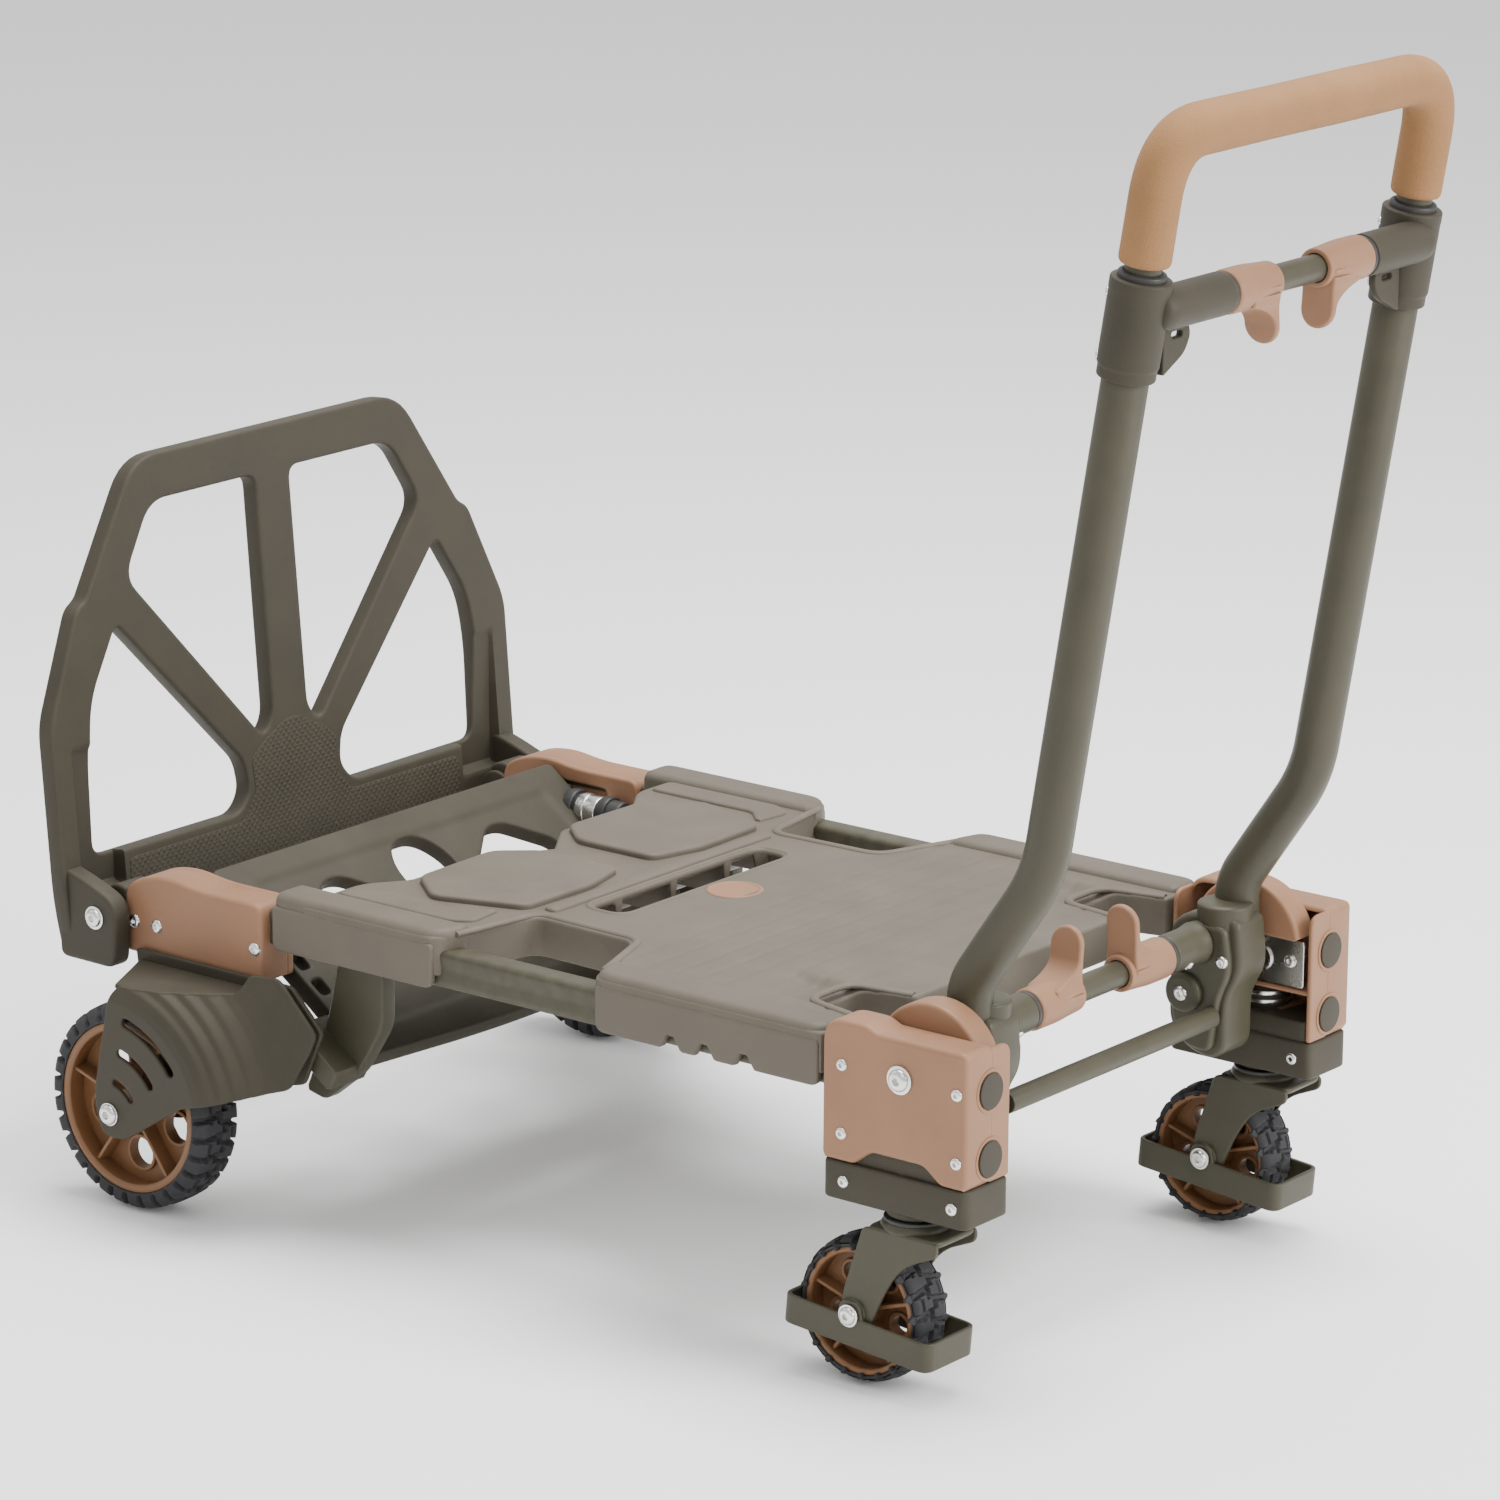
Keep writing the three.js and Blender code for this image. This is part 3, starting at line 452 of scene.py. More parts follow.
def surface(look):
    # colour = base mottled towards its shade, then lightened along worn edges, which also paints a highlight
    # there, and by dust; bump from the moulded grain
    material = bpy.data.materials.new(look["name"])
    material.use_nodes = True
    tree = material.node_tree
    shader = tree.nodes["Principled BSDF"]
    coordinates = tree.nodes.new("ShaderNodeTexCoord").outputs["Object"]
    grain = placed(tree, "grain", coordinates, Fineness=look["fineness"])
    wearAndHighlight = placed(tree, "wearAndHighlight", coordinates, Amount=look["wearAndHighlight"])
    dust = placed(tree, "dust", coordinates, Amount=look["dust"])
    mottle = addNode(tree, "ShaderNodeMapRange", i0=grain.outputs["Mottle"], i1=0.3, i2=0.7)
    colour = mixed(tree, mottle.outputs[0], (*look["shade"], 1), (*look["colour"], 1))
    # the edge mask lightens the colour: worn edges and a painted highlight along them
    colour = mixed(tree, wearAndHighlight.outputs[0], colour, (*look["rubbedAndHighlit"], 1))
    colour = mixed(tree, dust.outputs[0], colour, dustColour)
    tree.links.new(colour, shader.inputs["Base Color"])
    low, high = look["roughness"]
    rough = addNode(tree, "ShaderNodeMapRange", i0=grain.outputs["Mottle"], i1=0.3, i2=0.7, i3=low, i4=high)
    tree.links.new(rough.outputs[0], shader.inputs["Roughness"])
    height = grain.outputs["Height"]
    if "extraHeight" in look:
        more = look["extraHeight"](tree, coordinates)
        height = addNode(tree, "ShaderNodeMath", {"operation": "ADD"}, i0=height, i1=more).outputs[0]
    bump = addNode(tree, "ShaderNodeBump", Strength=look["bump"], Distance=look["depth"], Height=height)
    tree.links.new(bump.outputs[0], shader.inputs["Normal"])
    shader.inputs["Metallic"].default_value = look.get("metallic", 0)
    shader.inputs["IOR"].default_value = 1.48
    shader.inputs["Specular IOR Level"].default_value = look.get("specular", 0.4)
    if "sheen" in look:
        shader.inputs["Sheen Weight"].default_value = look["sheen"]
        shader.inputs["Sheen Roughness"].default_value = 0.5
    return material


def crosshatch(tree, coordinates):
    # two sets of fine diagonal ridges, (y + z) and (y - z), raised where both are high
    parts = addNode(tree, "ShaderNodeSeparateXYZ", Vector=coordinates)
    heights = []
    for operation in ("ADD", "SUBTRACT"):
        across = addNode(
            tree, "ShaderNodeMath", {"operation": operation}, i0=parts.outputs[1], i1=parts.outputs[2]
        )
        scaled = addNode(tree, "ShaderNodeMath", {"operation": "MULTIPLY"}, i0=across.outputs[0], i1=1100.0)
        heights.append(
            addNode(tree, "ShaderNodeMath", {"operation": "SINE"}, i0=scaled.outputs[0]).outputs[0]
        )
    top = addNode(tree, "ShaderNodeMath", {"operation": "MINIMUM"}, i0=heights[0], i1=heights[1])
    return addNode(tree, "ShaderNodeMath", {"operation": "MULTIPLY"}, i0=top.outputs[0], i1=3.0).outputs[0]


# each finish's lighter edge colour stands for worn edges and a painted highlight on them
paintLook = {
    "name": "olivePowderCoat", "colour": (0.052, 0.047, 0.029), "shade": (0.043, 0.039, 0.024),
    "rubbedAndHighlit": (0.115, 0.103, 0.07), "roughness": (0.38, 0.5), "fineness": 900.0, "bump": 0.16,
    "depth": 0.0003, "wearAndHighlight": 0.35, "dust": 0.05, "specular": 0.3
}
mouldingLook = {
    "name": "oliveMoulding", "colour": (0.043, 0.037, 0.025), "shade": (0.036, 0.031, 0.021),
    "rubbedAndHighlit": (0.1, 0.088, 0.062), "roughness": (0.5, 0.62), "fineness": 1700.0, "bump": 0.24,
    "depth": 0.0003, "wearAndHighlight": 0.4, "dust": 0.06, "specular": 0.22
}
deckLook = {
    "name": "oliveDeckMoulding", "colour": (0.108, 0.093, 0.071), "shade": (0.094, 0.080, 0.061),
    "rubbedAndHighlit": (0.18, 0.16, 0.128), "roughness": (0.5, 0.64), "fineness": 1500.0, "bump": 0.26,
    "depth": 0.0003, "wearAndHighlight": 0.45, "dust": 0.1, "specular": 0.28
}
tanLook = {
    "name": "tanMoulding", "colour": (0.262, 0.138, 0.078), "shade": (0.235, 0.122, 0.068),
    "rubbedAndHighlit": (0.44, 0.26, 0.16), "roughness": (0.42, 0.54), "fineness": 1500.0, "bump": 0.2,
    "depth": 0.00025, "wearAndHighlight": 0.45, "dust": 0.05, "specular": 0.28
}
foamLook = {
    "name": "tanFoam", "colour": (0.27, 0.142, 0.062), "shade": (0.24, 0.125, 0.054),
    "rubbedAndHighlit": (0.45, 0.27, 0.14), "roughness": (0.82, 0.92), "fineness": 1100.0, "bump": 0.5, "depth": 0.0006,
    "wearAndHighlight": 0.1, "dust": 0.04, "sheen": 0.03, "specular": 0.15
}
tyreLook = {
    "name": "blackRubber", "colour": (0.030, 0.030, 0.032), "shade": (0.022, 0.022, 0.024),
    "rubbedAndHighlit": (0.075, 0.074, 0.073), "roughness": (0.62, 0.78), "fineness": 1900.0, "bump": 0.3,
    "depth": 0.0004, "wearAndHighlight": 0.6, "dust": 0.08, "specular": 0.25
}
rimLook = {
    "name": "brownTanMoulding", "colour": (0.170, 0.080, 0.032), "shade": (0.145, 0.067, 0.026),
    "rubbedAndHighlit": (0.40, 0.24, 0.13), "roughness": (0.42, 0.55), "fineness": 1500.0, "bump": 0.2,
    "depth": 0.00025, "wearAndHighlight": 0.4, "dust": 0.08
}
zincLook = {
    "name": "zincPlate", "colour": (0.78, 0.775, 0.76), "shade": (0.66, 0.655, 0.64),
    "rubbedAndHighlit": (0.85, 0.85, 0.84), "roughness": (0.2, 0.34), "fineness": 1200.0, "bump": 0.06, "depth": 0.0002,
    "wearAndHighlight": 0.3, "dust": 0.02, "metallic": 1
}
darkLook = {
    "name": "darkBushing", "colour": (0.028, 0.028, 0.026), "shade": (0.02, 0.02, 0.019),
    "rubbedAndHighlit": (0.06, 0.06, 0.055), "roughness": (0.4, 0.55), "fineness": 1500.0, "bump": 0.15,
    "depth": 0.0002, "wearAndHighlight": 0.3, "dust": 0.05
}
paint, moulding, deckPlastic, tan, foam, rubber, rimPlastic, zinc, dark = (
    surface(look)
    for look in (
        paintLook, mouldingLook, deckLook, tanLook, foamLook, tyreLook, rimLook, zincLook, darkLook,
    )
)
hatched = surface({**mouldingLook, "name": "hatchedMoulding", "extraHeight": crosshatch, "bump": 0.34})
print("materials ready")


# deck: top plate, side skirts, raised pads, lips round the cut-outs, badge

deck = {
    "top": 231, "floor": 213, "wallFoot": 203, "skirtFoot": 194.5, "ridge": 235, "half": 216.2,
    "toe": 200, "handle": 652, "sleeve": 176, "cutFrom": 325, "cutTo": 462, "edge": 2.6,
    "notches": (528, 556, 589), "badge": (410, 0, 20),
}


def deckOutline():
    # one half, round a side cut-out and a notch, then the same corners with y -> -y in the opposite order
    half = [
        (deck["toe"] + 48, 0, 0), (deck["toe"] + 22, 38, 4), (deck["toe"] + 20, 121, 6),
        (deck["toe"], 150, 10), (deck["toe"], deck["half"], 10), (deck["cutFrom"], deck["half"], 12),
        (344, 133, 10), (430, 136, 10), (deck["cutTo"], deck["half"], 10), (deck["handle"], deck["half"], 6),
        (deck["handle"], 171, 4), (604, 160, 14), (604, 124, 14), (deck["handle"], 116.5, 6),
    ]
    far = [(x, -y, r) for x, y, r in half[:0:-1]]
    return rounded(half + far)


def waves(value, centre, width, soft):
    # 1 inside |value - centre| < width, easing to 0 over soft
    t = np.clip((width + soft - np.abs(value - centre)) / soft, 0, 1)
    return t * t * (3 - 2 * t)


def deckRelief(x, y):
    # furrows 0.9 deep every 21 mm, scoops 5.5 deep beside the uprights, and a middle raised by 0.6
    onField = waves(x, 541, 98, 8) * waves(y, 0, 172, 14)
    furrow = np.clip(np.cos((x - 433) / 21 * 2 * np.pi) * 6 - 5, 0, 1)
    scoop = waves(np.abs(y), 142, 14, 12) * waves(x, 606, 34, 26)
    middle = waves(x, 541, 112, 10) * waves(y, 0, 96, 30)
    return 0.6 * middle - 0.9 * furrow * onField - 5.5 * scoop


def deckUnder(x, y):
    # the underside is hollow between its walls: cells 22 mm deep with ribs every 60 mm
    ribs = np.maximum(waves((x + 30) % 60, 30, 1.5, 2.5), waves((y + 30) % 60, 30, 1.5, 2.5))
    inner = waves(x, 428, 170, 4) * waves(y, 0, 118, 4)
    return 22 * inner * (1 - ribs)


def deckShells():
    # the relieved plate, a floor under the hand slot and four raised blocks along the sides
    slot = rounded([(356, -92), (385, -92), (385, 92), (356, 92)], 13)
    shells = plate(
        [deckOutline(), slot], deck["wallFoot"], deck["top"], deck["edge"], inPlan, 2.6, deckRelief, deckUnder
    )
    # the hand slot is a closed trough
    shells += slab((350, 391), (-98, 98), (deck["floor"] - 4, deck["floor"]), 1.5, 3)
    for x0, x1 in ((deck["sleeve"], deck["cutFrom"]), (deck["cutTo"], deck["handle"] - 1)):
        lean = 9 if x0 == deck["sleeve"] else -9
        front = x1 + (lean if lean > 0 else 0)
        back = x0 + (lean if lean < 0 else 0)
        outline = rounded([(x0, 215.4, 11), (x1, 215.4, 14), (front, 184, 6), (back, 184, 6)])
        shells += bothSides(plate([outline], deck["skirtFoot"] + 10, deck["ridge"], 6, inPlan, 2.6, rings=5))
    return shells


def skirtShells():
    # the outer faces of the skirts, with slanted notches along the handle end
    shells = []
    foot, top = deck["skirtFoot"], deck["ridge"] - 9
    shells += bothSides(
        plate([
            rounded([
                (deck["sleeve"] + 2, foot, 6), (deck["cutFrom"] - 3, foot, 8), (deck["cutFrom"] - 3, top, 3),
                (deck["sleeve"] + 2, top, 3)
            ])
        ], 211, 217, 2, inSide, 2.2)
    )
    lower = [(deck["cutTo"] + 2, foot, 8)]
    for x in deck["notches"]:
        lower += [
            (x - 8, foot, 1.5), (x - 3.4, foot + 10, 1.5), (x + 1.6, foot + 10, 1.5), (x + 8, foot, 1.5)
        ]
    corners = lower + [
        (deck["handle"] - 3, foot, 7), (deck["handle"] - 3, top, 3), (deck["cutTo"] + 2, top, 3)
    ]
    shells += bothSides(plate([rounded(corners)], 211, 217, 1.6, inSide, 1.6))
    return shells


def padShells():
    # low raised pads at the toe end, each with a soft shoulder, and a bar in front of the hand slot
    corners = [(226, 42), (254, 18), (322, 18), (333, 60), (331, 128), (264, 150), (228, 121)]
    pad = plate(
        [rounded([(*c, 8) for c in corners])], deck["top"] - 3, deck["top"] + 4.5, 2.4, inPlan, 2.5, rings=4
    )
    bar = plate([rounded([(338, -120), (350, -120), (350, 120), (338, 120)], 5)], 228, 233.4, 2.4, inPlan, 2)
    step = plate(
        [rounded([(206, 158), (300, 158), (318, 140), (322, 172), (306, 182), (206, 182)], 6)],
        228, 233.2, 2.2, inPlan, 2.2,
    )
    return bothSides(pad) + bar + bothSides(step)


def lipShells():
    # a half-round bead round each side cut-out, each handle-end notch and the hand slot
    bead = circle(0, 0, 2.7, 16)
    shells = []
    for corners in (
        [(deck["cutFrom"] + 4, 199), (341, 128), (434, 131), (deck["cutTo"] - 4, 199)],
        [(648, 174), (600, 163.5), (600, 120.5), (648, 113)],
    ):
        flat = pathThrough(corners, 13)
        path = np.column_stack([flat, np.full(len(flat), deck["top"] - 0.4)])
        shells += bothSides(carried(path, bead * [0.8, 1.2], (0, 0, 1)))
    rim = rounded([(352, -96), (389, -96), (389, 96), (352, 96)], 15)
    path = np.column_stack([rim, np.full(len(rim), deck["top"] - 0.8)])
    shells += carried(path, bead * [0.62, 0.9], (0, 0, 1), closed=True)
    return shells


def badgeShells():
    # a blank disc: raised rim, dished face
    x, y, r = deck["badge"]
    profile = [(0, -1), (r, -1), (r, 0.6, 0.8), (r - 2.2, 1.2, 0.8), (r - 3.6, 0.3, 0.8), (0, 0.7)]
    return revolved(rounded(profile, steps=3, closed=False), (x, y, deck["top"] - 0.1), (0, 0, 1), 72)


def makeDeck():
    # all of the deck rides on the chassis
    makePiece(
        "deck_top", deckShells() + padShells() + lipShells(), deckPlastic, "chassis",
        ["deck_panel"]
    )
    makePiece("deck_skirts", skirtShells(), deckPlastic, "chassis")
    makePiece("deck_badge_disc", badgeShells(), tan, "chassis", ["deck_badge"])
    print("deck ready")


# side tubes and cross tubes

rail = {"y": 200.8, "half": 10.8, "low": 194.8, "high": 221, "from": 60.5, "to": 652.5, "waist": 1.7}


def railShells():
    # a rounded section, pinched by the waist at mid height, carried straight along the cart
    low, high, half = rail["low"], rail["high"], rail["half"]
    mid = (low + high) / 2
    section = rounded([
        (-half, low - mid, 9.5), (half, low - mid, 9.5), (half - rail["waist"], -1, 2),
        (half - rail["waist"], 1, 2), (half, high - mid, 9.5), (-half, high - mid, 9.5),
        (rail["waist"] - half, 1, 2), (rail["waist"] - half, -1, 2)
    ])
    path = np.array([(x, rail["y"], mid) for x in (rail["from"], rail["to"])])
    return carried(path, section, (0, 1, 0))


def makeRails():
    # a rail on each side, and two cross bars that end 0.4 short of the rails' faces
    for label, side in sides.items():
        makePiece(
            f"side_rail_{label}", mirrored(railShells(), side), paint, "chassis",
            [f"side_tube_{label}"]
        )
    for label, x in (("toe", 300), ("handle", 592)):
        end = rail["y"] - rail["half"] - 0.4
        shells = rod((x, -end, 203), (x, end, 203), 8.5)
        makePiece(f"cross_bar_{label}", shells, paint, "chassis", [f"cross_tube_{label}"])
    print("rails ready")


# screws: a domed head with a hexagonal socket

screwSpec = {"dome": 0.42, "socket": 0.42, "sink": 0.35}


def screw(centre, radius, axis=(0, 1, 0)):
    # dome height = 0.42 radius; the socket's radius is bent from round to six-sided near the middle
    r, h = radius, radius * screwSpec["dome"]
    s, sink = r * screwSpec["socket"], r * screwSpec["sink"]
    a = np.linspace(0, 1, 7)
    dome = [(r * np.cos(t * 1.1), h * np.sin(t * np.pi / 2)) for t in a]
    profile = [(0, -1.2), (r, -1.2)] + dome + [(s * 1.05, h), (s, h - 0.1), (s, h - sink), (0, h - sink)]

    def six(angle, size):
        # inside the socket, radius * cos 30 / cos(angle from the middle of a flat)
        sector = (angle % (np.pi / 3)) - np.pi / 6
        hexagon = np.cos(np.pi / 6) / np.cos(sector)
        return np.where(size <= s * 1.06, hexagon, 1.0)

    return revolved(profile, centre, axis, 36, six)


def washer(centre, radius, bore, thick, axis=(0, 1, 0)):
    # the rounded rectangle from bore to radius and as thick as stated, turned about the axis
    ring = rounded([(bore, 0, 0.2), (radius, 0, 0.2), (radius, thick, 0.4), (bore, thick, 0.4)], steps=2)
    return revolved(np.vstack([ring, ring[:1]]), centre, axis, 40)


# toe end: brackets, plate, hinge

bracket = {"from": 42.5, "to": 171, "low": 169, "high": 226, "hump": 229, "inner": 186.4, "outer": 220}
hinge = {"x": 32.6, "z": 195}


def bracketShells():
    # an outer plate with the humped outline, and an inner one with a window through it
    b = bracket
    outline = rounded([
        (b["from"], b["low"], 3), (b["to"], b["low"], 3), (b["to"], b["high"] - 1, 9),
        (112, b["high"] - 1, 22), (86, b["hump"], 14), (62, b["hump"] - 3, 14),
        (b["from"], b["high"] - 10, 12)
    ])
    channel = rounded([(88, 178), (142, 178), (142, 214), (88, 214)], 5)
    shells = plate([outline], 191.5, b["outer"], 3.2, inSide, 2.2)
    shells += plate([outline, channel], b["inner"], 194, 2, inSide, 2.2)
    return shells


def knuckleShells():
    # the hinge's round boss, its stop block and the short lever under it, all under the folded plate
    shells = rod((hinge["x"], 189, hinge["z"]), (hinge["x"], 221.5, hinge["z"]), 13.5, 2)
    stop = rounded([(25, 200, 3), (44, 192, 2), (44, 214, 4), (34, 215.5, 4), (25, 211, 4)])
    shells += plate([stop], 192, 219, 2, inSide, 2)
    shells += plate(
        [rounded([(20, 190, 3), (40, 181, 4), (44, 190, 2), (30, 203, 4)])], 198, 216, 2, inSide, 2
    )
    return shells


latch = {"y": 176, "z": 200}


def latchBand(start, end, radius, bevel):
    # a band of the latch barrel from start to end along the cart
    return rod((start, latch["y"], latch["z"]), (end, latch["y"], latch["z"]), radius, bevel)


def latchShells():
    # spring latch inboard of the bracket: a dark barrel with collars and a square shoe
    shells = latchBand(108, 168, 11, 2) + latchBand(118, 126, 13.5, 1.5) + latchBand(150, 157, 13, 1.5)
    shells += slab((76, 112), (166, 186), (188, 213), 2.5, 2.4)
    return shells


def latchCollarShells():
    # the zinc collar on the barrel and its raised band
    return latchBand(128.5, 147.5, 11.8, 1.2) + latchBand(131, 137, 12.6, 0.8)


toePlate = {"lean": 4.86, "thick": 14, "pivotHeight": 300, "earInner": 223.4, "earOuter": 239}


def onToePlate(y, v, w):
    # x = w cos a - v sin a and z = 300 + w sin a + v cos a, with the lean a
    a = np.radians(toePlate["lean"])
    x = w * np.cos(a) - v * np.sin(a)
    return np.stack([x, y, toePlate["pivotHeight"] + w * np.sin(a) + v * np.cos(a)], 1)


def heightsFrom(corners):
    # v = z - pivotHeight
    return [(c[0], c[1] - toePlate["pivotHeight"], *c[2:]) for c in corners]


def acrossBoth(corners):
    # the same corners with y -> -y, in the opposite order
    return [(-c[0], *c[1:]) for c in corners[::-1]]


def toePlateWindows():
    # an upper and a lower window, and their mirrored copies
    upper = heightsFrom([(18.5, 465, 10), (126, 465, 16), (156, 416, 14), (30, 276, 9), (19, 289, 9)])
    lower = heightsFrom([
        (170, 385, 7), (200, 337, 16), (205.5, 300, 20), (202.5, 226, 10), (61, 225.5, 10), (49, 240, 8),
        (52.5, 262, 9)
    ])
    return [rounded(c) for h in (upper, lower) for c in (h, acrossBoth(h))]


def toePlateShells():
    # half the outline and its mirrored copy, the windows, and an ear at each hinge
    half = heightsFrom([
        (220.4, 172, 2), (toePlate["earInner"], 160, 2), (236, 160, 6), (242.4, 200, 24), (242.6, 326, 12),
        (208.5, 402, 6), (198, 408, 4), (140, 498, 24)
    ])
    edge = rounded(half + acrossBoth(half))

    def pocket(y, v):
        # the lower corners are cut back to the plane x = -2.3, to pass over the bracket when it folds
        lean = np.radians(toePlate["lean"])
        depth = (2.3 - v * np.sin(lean)) / np.cos(lean)
        return -depth * waves(np.abs(y), 203, 19.5, 2) * waves(v, -46, 49, 4)

    shells = plate([edge, *toePlateWindows()], -toePlate["thick"], 0, 2.4, onToePlate, 2.2, relief=pocket)
    ear = plate(
        [rounded([(-1.5, 161, 6), (51, 160.5, 10), (53, 208, 14), (24, 219, 10), (4, 225, 6), (-6, 226, 3)])],
        toePlate["earInner"], toePlate["earOuter"], 2.6, inSide, 2.4,
    )
    return shells + bothSides(ear)


def hatchPanelShells():
    # a thin inlay on the foot and hub of the plate, under and between the lower windows
    half = heightsFrom([(34, 271, 4), (45, 262, 4), (43, 238, 6), (57, 219, 6), (176, 219, 5), (178, 180, 6)])
    edge = rounded([(0, 288 - toePlate["pivotHeight"], 14)] + half + acrossBoth(half))
    return plate([edge], -1, 0.5, 0.45, onToePlate, 3, flatLow=True)


def toePinShells():
    # a washer and a socket screw on the hinge line
    x, z = hinge["x"], hinge["z"]
    return washer((x, 239, z), 8.4, 3, 1.2) + screw((x, 240.3, z), 6.6)


def makeToeEnd():
    # brackets, hinges and latches ride on the chassis; the plate and its inlay on the toe plate's body
    for label, side in sides.items():
        makePiece(f"toe_corner_{label}", mirrored(bracketShells(), side), tan, "chassis",
                  [f"toe_bracket_{label}"])
        screws = []
        for x, z, r in ((52.6, 192, 5), (73.6, 192, 5), (165, 193, 5)):
            screws += screw((x, bracket["outer"] - 0.1, z), r)
        makePiece(f"toe_corner_screws_{label}", mirrored(screws, side), zinc, "chassis")
        makePiece(
            f"hinge_knuckle_{label}", mirrored(knuckleShells(), side), moulding, "chassis"
        )
        makePiece(f"latch_{label}", mirrored(latchShells(), side), dark, "chassis")
        makePiece(f"latch_collar_{label}", mirrored(latchCollarShells(), side), zinc, "chassis")
        makePiece(
            f"toe_hinge_pin_{label}", mirrored(toePinShells(), side), zinc, "chassis",
            [f"toe_pin_{label}"]
        )
    makePiece("toe_plate_frame", toePlateShells(), moulding, "toe_plate", ["toe_plate"])
    makePiece("toe_plate_hatching", hatchPanelShells(), hatched, "toe_plate")
    print("toe end ready")


# wheel carrier and fenders

carrier = {"topX": 91, "topZ": 227, "footX": 236, "footZ": 121, "thick": 14, "half": 183}
wheel = {"x": 86.2, "z": 74.4, "radius": 74.2, "inner": 229, "outer": 268, "rim": 61}
fenderFace = 284


def onSlope(s, y, w):
    # s runs down the slope; w stands square to it
    dx, dz = carrier["footX"] - carrier["topX"], carrier["footZ"] - carrier["topZ"]
    length = np.hypot(dx, dz)
    ux, uz = dx / length, dz / length
    return np.stack([carrier["topX"] + s * ux - w * uz, y, carrier["topZ"] + s * uz + w * ux], 1)


def carrierShells():
    # a sheet on the slope with two side windows, a middle window and three small slots a side
    length = np.hypot(carrier["footX"] - carrier["topX"], carrier["footZ"] - carrier["topZ"])
    w = carrier["half"]
    sheet = rounded(
        [(0, -w, 6), (length, -w, 5), (length + 6, -60, 40), (length + 6, 60, 40), (length, w, 5), (0, w, 6)]
    )
    holes = []
    for sign in (1, -1):
        holes.append(rounded([(s, y * sign, 8) for s, y in (
            (35, 79), (35, 97), (62, 131), (104, 131), (104, 46), (62, 46))]))
        for s in (60, 84, 108):
            holes.append(
                rounded([(s, 168 * sign), (s, 178 * sign), (s + 14, 178 * sign), (s + 14, 168 * sign)], 3)
            )
    holes.append(
        rounded([(22, -14, 12), (22, 14, 12), (42, 27, 14), (104, 27, 8), (104, -27, 8), (42, -27, 14)])
    )

    def dished(s, y):
        # a shallow field between the rim and the holes
        return -1.4 * waves(s, 90, 66, 6) * waves(y, 0, 150, 8)

    return plate([sheet, *holes], -carrier["thick"], 0, 2, onSlope, 2.6, relief=dished)


def braceShells():
    # a strut drawn in side view, and its foot, which reaches further out
    strut = rounded([
        (222, 193.5), (262, 193.5, 4), (262, 150, 10), (238, 112, 8), (208, 88, 4), (190, 92, 4),
        (206, 130, 6), (214, 160, 8)
    ])
    foot = rounded([(200, 147, 3), (240, 118, 3), (232, 104, 3), (192, 133, 3)])
    return plate([strut], 184.3, 197.8, 2, inSide, 2.2) + plate([foot], 184.3, 220.6, 2, inSide, 2.2)


def arcSlot(centre, radius, half, start, end):
    # a slot that follows a circle: outer arc, round end, inner arc, round end
    a = np.radians(np.linspace(start, end, 20))
    outer = np.stack([np.cos(a), np.sin(a)], 1) * (radius + half)
    inner = np.stack([np.cos(a), np.sin(a)], 1)[::-1] * (radius - half)
    ends = []
    for angle, turn in ((a[-1], 1), (a[0], -1)):
        middle = np.array([np.cos(angle), np.sin(angle)]) * radius
        b = np.linspace(0, np.pi, 7)[1:-1] + (0 if turn > 0 else np.pi)
        ends.append(middle + half * np.stack([np.cos(angle + b), np.sin(angle + b)], 1))
    return np.concatenate([outer, ends[0], inner, ends[1]]) + centre


def fenderRelief(x, z):
    # the stepped flare, a height for each distance from the axle
    r = np.hypot(x - wheel["x"], z - wheel["z"])
    radii = [0, 82, 88, 94, 97, 101, 104, 108, 111, 115, 119, 124, 134, 150, 200]
    drops = [0, 0, -1, -3, -7, -9, -15, -17.5, -24, -27, -34, -38, -44, -51, -55]
    return np.interp(r, radii, drops)


def fenderShells():
    # the flared face on rings round the axle, an inner cheek, and a flat roof between them
    axle = np.array([wheel["x"], wheel["z"]])
    outline = rounded([
        (86, 158, 8), (71, 84, 22), (78, 58, 16), (98, 57, 14), (153, 92, 6), (214, 107, 4), (231, 147, 4),
        (198, 181, 5), (176, 181, 4), (170, 167.8, 3), (94, 167.8, 3),
    ], steps=8)
    radii = np.unique(
        np.concatenate([np.linspace(0, 80, 33), np.linspace(80, 150, 88), np.linspace(150, 170, 9)])
    )
    angles = np.radians(np.linspace(-180, 180, 241))
    radius, angle = np.meshgrid(radii, angles, indexing="ij")
    grid = (axle[0] + radius * np.cos(angle), axle[1] + radius * np.sin(angle))
    slots = [arcSlot(axle, r, h, 36, 77) for r, h in ((24, 2.6), (47, 2.9), (70.5, 3.4))]
    shells = plate(
        [outline, *slots], fenderFace - 3.2, fenderFace, 1.1, inSide, relief=fenderRelief, under=fenderRelief,
        grid=grid
    )
    cheek = rounded([
        (58, 175, 3), (70, 84, 20), (78, 58, 14), (98, 57, 12), (153, 92, 6), (214, 107, 4), (231, 147, 4),
        (203, 175, 4),
    ])
    shells += plate([cheek], 221.8, 225.6, 1.2, inSide, 2.6)
    along = np.linspace(88, 196, 28)
    edge = fenderFace - 3.6 + fenderRelief(along, np.full(28, 166.0))
    roof = np.vstack([[(60, 222), (199, 222)], np.stack([along, edge], 1)[::-1]])
    shells += plate([roof], 164, 167.4, 1.2, inPlan, 2.6)
    return shells


